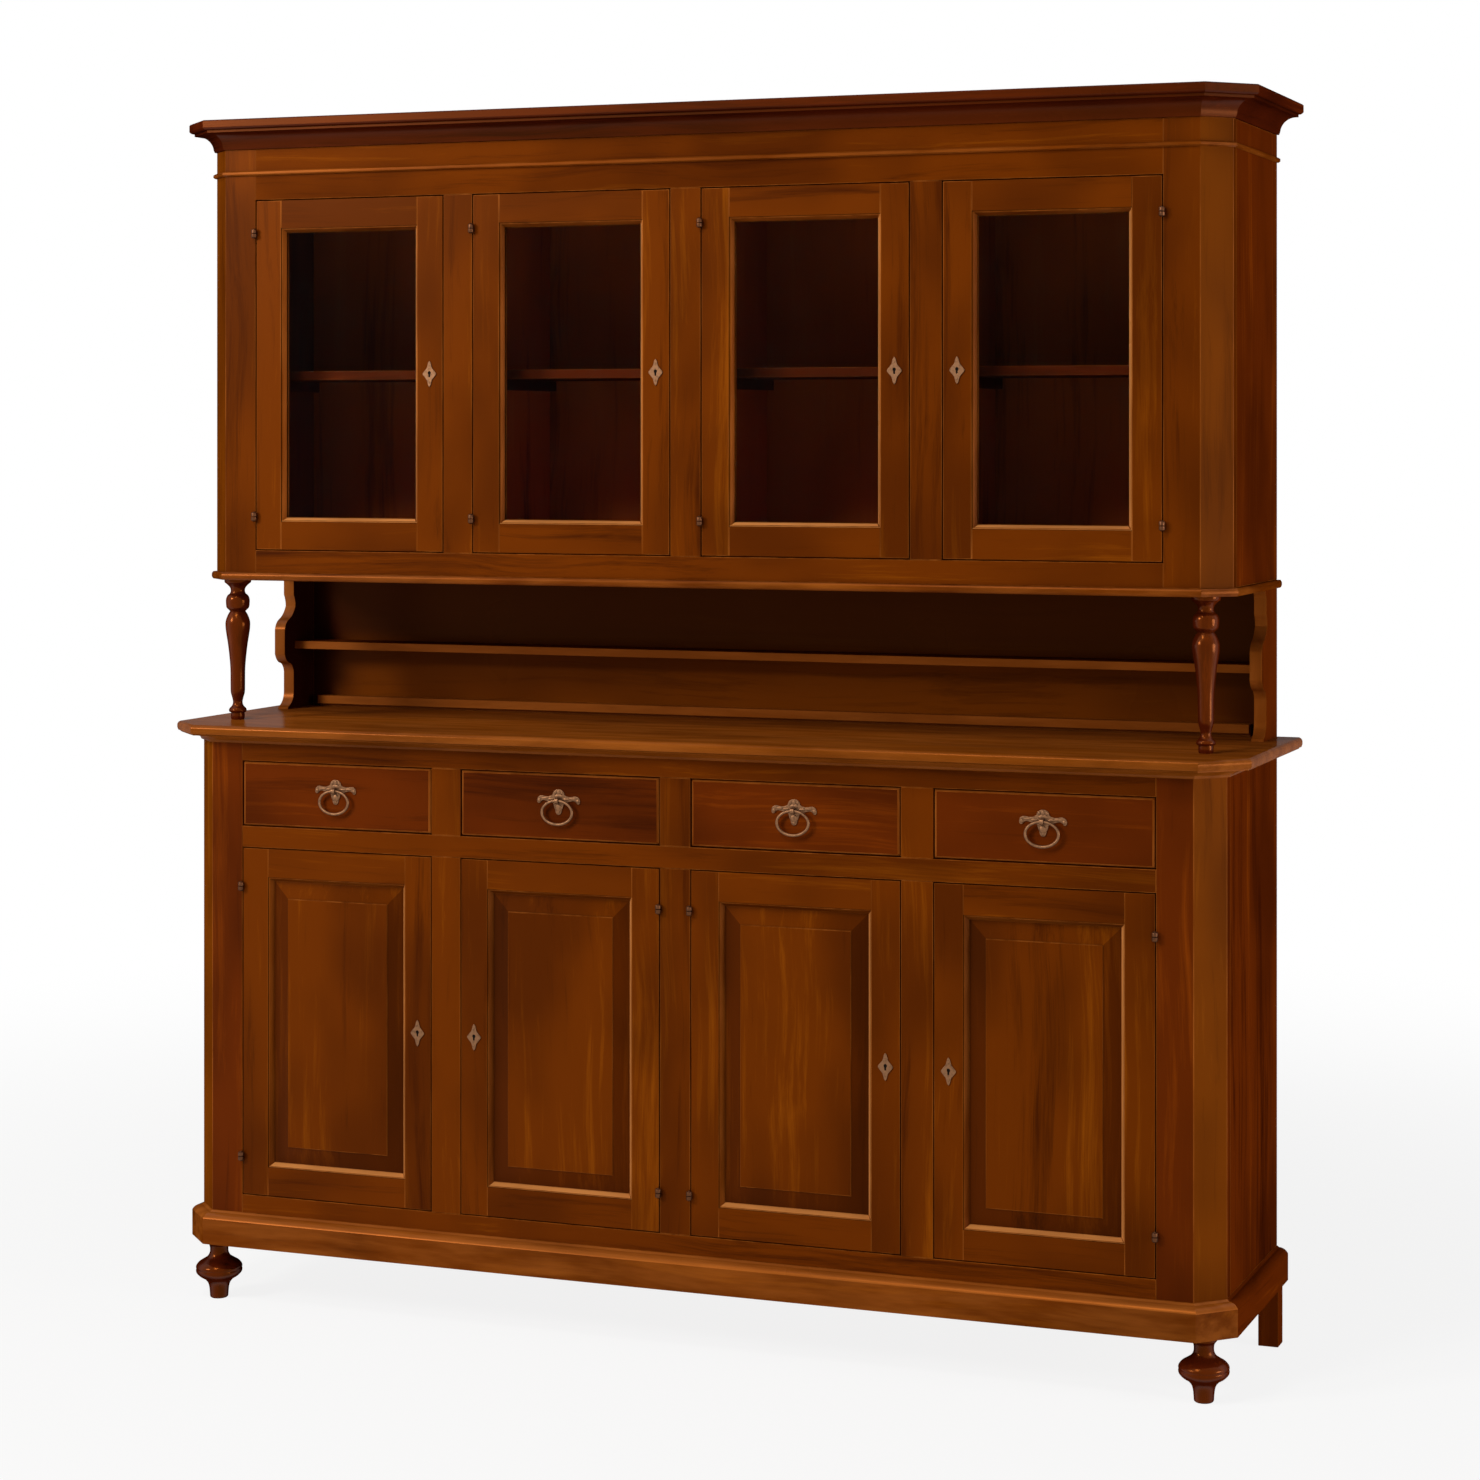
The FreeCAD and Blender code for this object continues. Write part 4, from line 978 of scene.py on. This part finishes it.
class DRESSER_OT_door_fittings(Operator):
    """Make the key plates and the two halves of every door hinge"""
    bl_idname = "dresser.door_fittings"
    bl_label = "Key plates and hinges"

    # Right half of the key plate, its hole and the half barrel of a hinge, all in mm.
    key_plate = ((0, -24), (2.6, -20.5), (3.9, -15.2), (5.2, -11), (9, -6.6), (13.2, -1.6),
                 (13.5, 0), (13.2, 1.6), (9, 6.6), (5.2, 11), (3.9, 15.2), (2.6, 20.5), (0, 24))
    keyhole = ((-1.4, -6), (1.4, -6), (1.7, -1), (2.9, 0.8), (2.9, 3), (1.6, 4.6), (0, 5),
               (-1.6, 4.6), (-2.9, 3), (-2.9, 0.8), (-1.7, -1))
    barrel = ((0, 0.35), (4.7, 0.35), (5.4, 0.9), (5.4, 6.4), (5.1, 7.2), (4.1, 7.7), (3.4, 8),
              (3.1, 8.5), (2.2, 9.2), (0, 9.5))

    # Pins of the key plate above and below its middle; hinges off the door's face, in from the
    # side of their box and in from the ends of the opening.
    pin_height = 15.4 * MM
    stand = 6 * MM
    barrel_to_side = 5.08 * MM
    hinge_inset = {"cupboard": 72 * MM, "glazed": 63 * MM}

    def hinge_half(self, mesh, place, upward, material):
        sign = 1 if upward else -1
        turn(mesh, in_metres((r, h * sign) for r, h in self.barrel), place, 24, material)
        ends = sorted((0.4 * MM * sign, 8 * MM * sign))
        bar(mesh, place @ Vector((-0.6 * MM, 4 * MM, ends[0])),
            place @ Vector((0.6 * MM, 21 * MM, ends[1])), 0.15 * MM, material)

    def key_plate_at(self, mesh, place, thick):
        hole = in_metres(self.keyhole)
        sawn_plate(mesh, [both_halves(self.key_plate), hole], thick, 0.5 * MM,
                   place @ Matrix.Translation((0, -thick / 2, 0)))
        # A dark sheet behind the keyhole: painted shade.
        painted_shade_hollow = [(x * 1.5, z * 1.2) for x, z in hole]
        sawn_plate(mesh, [painted_shade_hollow], 0.4 * MM, 0.1 * MM,
                   place @ Matrix.Translation((0, -0.3 * MM, 0)), 2)
        for z in (-self.pin_height, self.pin_height):
            bead(mesh, place @ Matrix.Translation((0, -thick, z)),
                 (1.5 * MM, 0.8 * MM, 1.5 * MM), 0, 12)

    def execute(self, context):
        rests = bmesh.new()
        for kind, inset in self.hinge_inset.items():
            for bay in BAYS:
                body = "%s_door_%d" % (kind, bay)
                node = body + "_fittings"
                door_low, door_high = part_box(body + "_woodwork")
                low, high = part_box(node)
                left_hung = low.x < door_low.x
                lock_x = door_high.x - DOOR_STILE / 2 if left_hung else door_low.x + DOOR_STILE / 2
                mesh = bmesh.new()
                self.key_plate_at(mesh, Matrix.Translation(
                    (lock_x, door_low.y, (door_low.z + door_high.z) / 2)),
                    context.scene.dresser_sizes.plate)
                axis_x = low.x + self.barrel_to_side if left_hung else high.x - self.barrel_to_side
                for z in (door_low.z - DOOR_GAP + inset, door_high.z + DOOR_GAP - inset):
                    at = Matrix.Translation((axis_x, door_low.y - self.stand, z))
                    self.hinge_half(mesh, at, True, 1)
                    self.hinge_half(rests, at, False, 0)
                piece = add_piece(body + "_brass", mesh, body,
                                  [brass(), bronze(), lock_hollow()])
                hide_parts(node)
        piece = add_piece("hinge_lower_halves", rests, "carcass", [bronze()])
        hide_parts("hinge_rests")
        return {"FINISHED"}


class DRESSER_OT_stage(Operator):
    """Lay the floor, set the light and place the camera"""
    bl_idname = "dresser.stage"
    bl_label = "Stage and camera"

    # Name, place, target, width and tint of each lamp; the powers are among the settings.
    lamps = (("key", (-3.7, -4.2, 3.4), (0, 0, 1.1), 1.5, (1, 0.98, 0.95)),
             ("top", (-0.6, -3, 4.6), (0, 0, 1), 1.2, (1, 0.98, 0.95)),
             ("side", (4.9, -0.5, 1.3), (0.9, 0, 1.1), 2, (1, 0.98, 0.96)))
    floor_half_width = 20
    fade_start, fade_end = 1.2, 4.5

    def clear_rays(self, graph):
        """1 for what the camera sees straight, mirrored or through glass, 0 for soft light."""
        path = graph.nodes.new("ShaderNodeLightPath")
        camera, glossy, through = (Wire(graph, path.outputs[name]) for name in (
            "Is Camera Ray", "Is Glossy Ray", "Is Transmission Ray"))
        return graph.add("ShaderNodeMath", {"operation": "ADD", "use_clamp": True},
                         {0: camera + glossy, 1: through})

    def floor(self, stage):
        mesh = bmesh.new()
        bmesh.ops.create_grid(mesh, x_segments=2, y_segments=2, size=self.floor_half_width)
        data = bpy.data.meshes.new("floor")
        mesh.to_mesh(data)
        mesh.free()

        def build(graph):
            place = graph.add("ShaderNodeTexCoord", out="Object")
            cloud = graph.noise(place, 3, 3)
            far = graph.add("ShaderNodeVectorMath", {"operation": "LENGTH"}, {0: place},
                            out="Value").between(self.fade_start, self.fade_end)
            clear = stage.floor_glow + (1 - stage.floor_glow) * far
            tint = tuple(stage.floor)
            darker = tuple(value * 0.97 for value in tint)
            matt = graph.add("ShaderNodeBsdfDiffuse", None, {
                "Color": graph.mix(cloud, tint, darker)})
            glow = graph.add("ShaderNodeEmission", None, {"Color": (1, 1, 1, 1)})
            graph.finish(graph.add("ShaderNodeMixShader", None, {
                0: self.clear_rays(graph) * clear, 1: matt, 2: glow}))
        data.materials.append(new_material("pale_floor", build))
        obj = bpy.data.objects.new("floor", data)
        bpy.context.scene.collection.objects.link(obj)

    def lamp(self, name, place, target, width, tint, power):
        data = bpy.data.lights.new(name, "AREA")
        data.shape = "DISK"
        data.size = width
        data.energy = power
        data.color = tint
        obj = bpy.data.objects.new(name, data)
        obj.location = place
        obj.rotation_euler = (Vector(target) - Vector(place)).to_track_quat("-Z", "Y").to_euler()
        bpy.context.scene.collection.objects.link(obj)

    def sky(self, scene, strength):
        world = bpy.data.worlds.new("studio")
        scene.world = world
        graph = Graph(world)
        soft = graph.add("ShaderNodeBackground", None, {0: (1, 1, 1, 1), 1: strength})
        white = graph.add("ShaderNodeBackground", None, {0: (1, 1, 1, 1), 1: 1.0})
        graph.finish(graph.add("ShaderNodeMixShader", None, {
            0: self.clear_rays(graph), 1: soft, 2: white}), "ShaderNodeOutputWorld")

    def camera(self, scene, stage):
        data = bpy.data.cameras.new("camera")
        data.sensor_width = 36
        data.lens = stage.lens
        data.shift_x = stage.shift_x
        data.shift_y = stage.shift_y
        camera = bpy.data.objects.new("camera", data)
        camera.location = (stage.camera_x, stage.camera_y, stage.camera_z)
        camera.rotation_euler = (math.pi / 2, 0, stage.camera_turn)
        scene.collection.objects.link(camera)
        scene.camera = camera

    def execute(self, context):
        scene = context.scene
        stage = scene.dresser_stage
        self.floor(stage)
        for lamp in self.lamps:
            self.lamp(*lamp, getattr(stage, lamp[0]))
        self.sky(scene, stage.sky)
        self.camera(scene, stage)
        scene.view_settings.view_transform = "Standard"
        return {"FINISHED"}


OPERATORS = (DRESSER_OT_lower_case, DRESSER_OT_upper_case, DRESSER_OT_mouldings,
             DRESSER_OT_open_stage, DRESSER_OT_doors, DRESSER_OT_drawers, DRESSER_OT_feet,
             DRESSER_OT_columns, DRESSER_OT_pulls, DRESSER_OT_door_fittings, DRESSER_OT_stage)
GROUPS = {"dresser_wood": DresserWood, "dresser_metal": DresserMetal,
          "dresser_sizes": DresserSizes, "dresser_stage": DresserStage}


class DRESSER_PT_pieces(Panel):
    """Lists the pieces of the dresser and what can be changed on them"""
    bl_idname = "DRESSER_PT_pieces"
    bl_label = "Dresser with hutch"
    bl_space_type = "VIEW_3D"
    bl_region_type = "UI"
    bl_category = "Dresser"

    def draw(self, context):
        for name, group in GROUPS.items():
            box = self.layout.box()
            for prop in group.__annotations__:
                box.prop(getattr(context.scene, name), prop)
        for operator in OPERATORS:
            self.layout.operator(operator.bl_idname)


def register():
    for cls in (*GROUPS.values(), *OPERATORS, DRESSER_PT_pieces):
        bpy.utils.register_class(cls)
    for name, group in GROUPS.items():
        setattr(bpy.types.Scene, name, PointerProperty(type=group))


def unregister():
    for name in GROUPS:
        delattr(bpy.types.Scene, name)
    for cls in reversed((*GROUPS.values(), *OPERATORS, DRESSER_PT_pieces)):
        bpy.utils.unregister_class(cls)


def main():
    register()
    bpy.ops.dresser.lower_case()
    bpy.ops.dresser.upper_case()
    bpy.ops.dresser.mouldings()
    bpy.ops.dresser.open_stage()
    bpy.ops.dresser.doors()
    bpy.ops.dresser.drawers()
    bpy.ops.dresser.feet()
    bpy.ops.dresser.columns()
    bpy.ops.dresser.pulls()
    bpy.ops.dresser.door_fittings()
    bpy.ops.dresser.stage()
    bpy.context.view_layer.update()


if __name__ == "__main__":
    main()
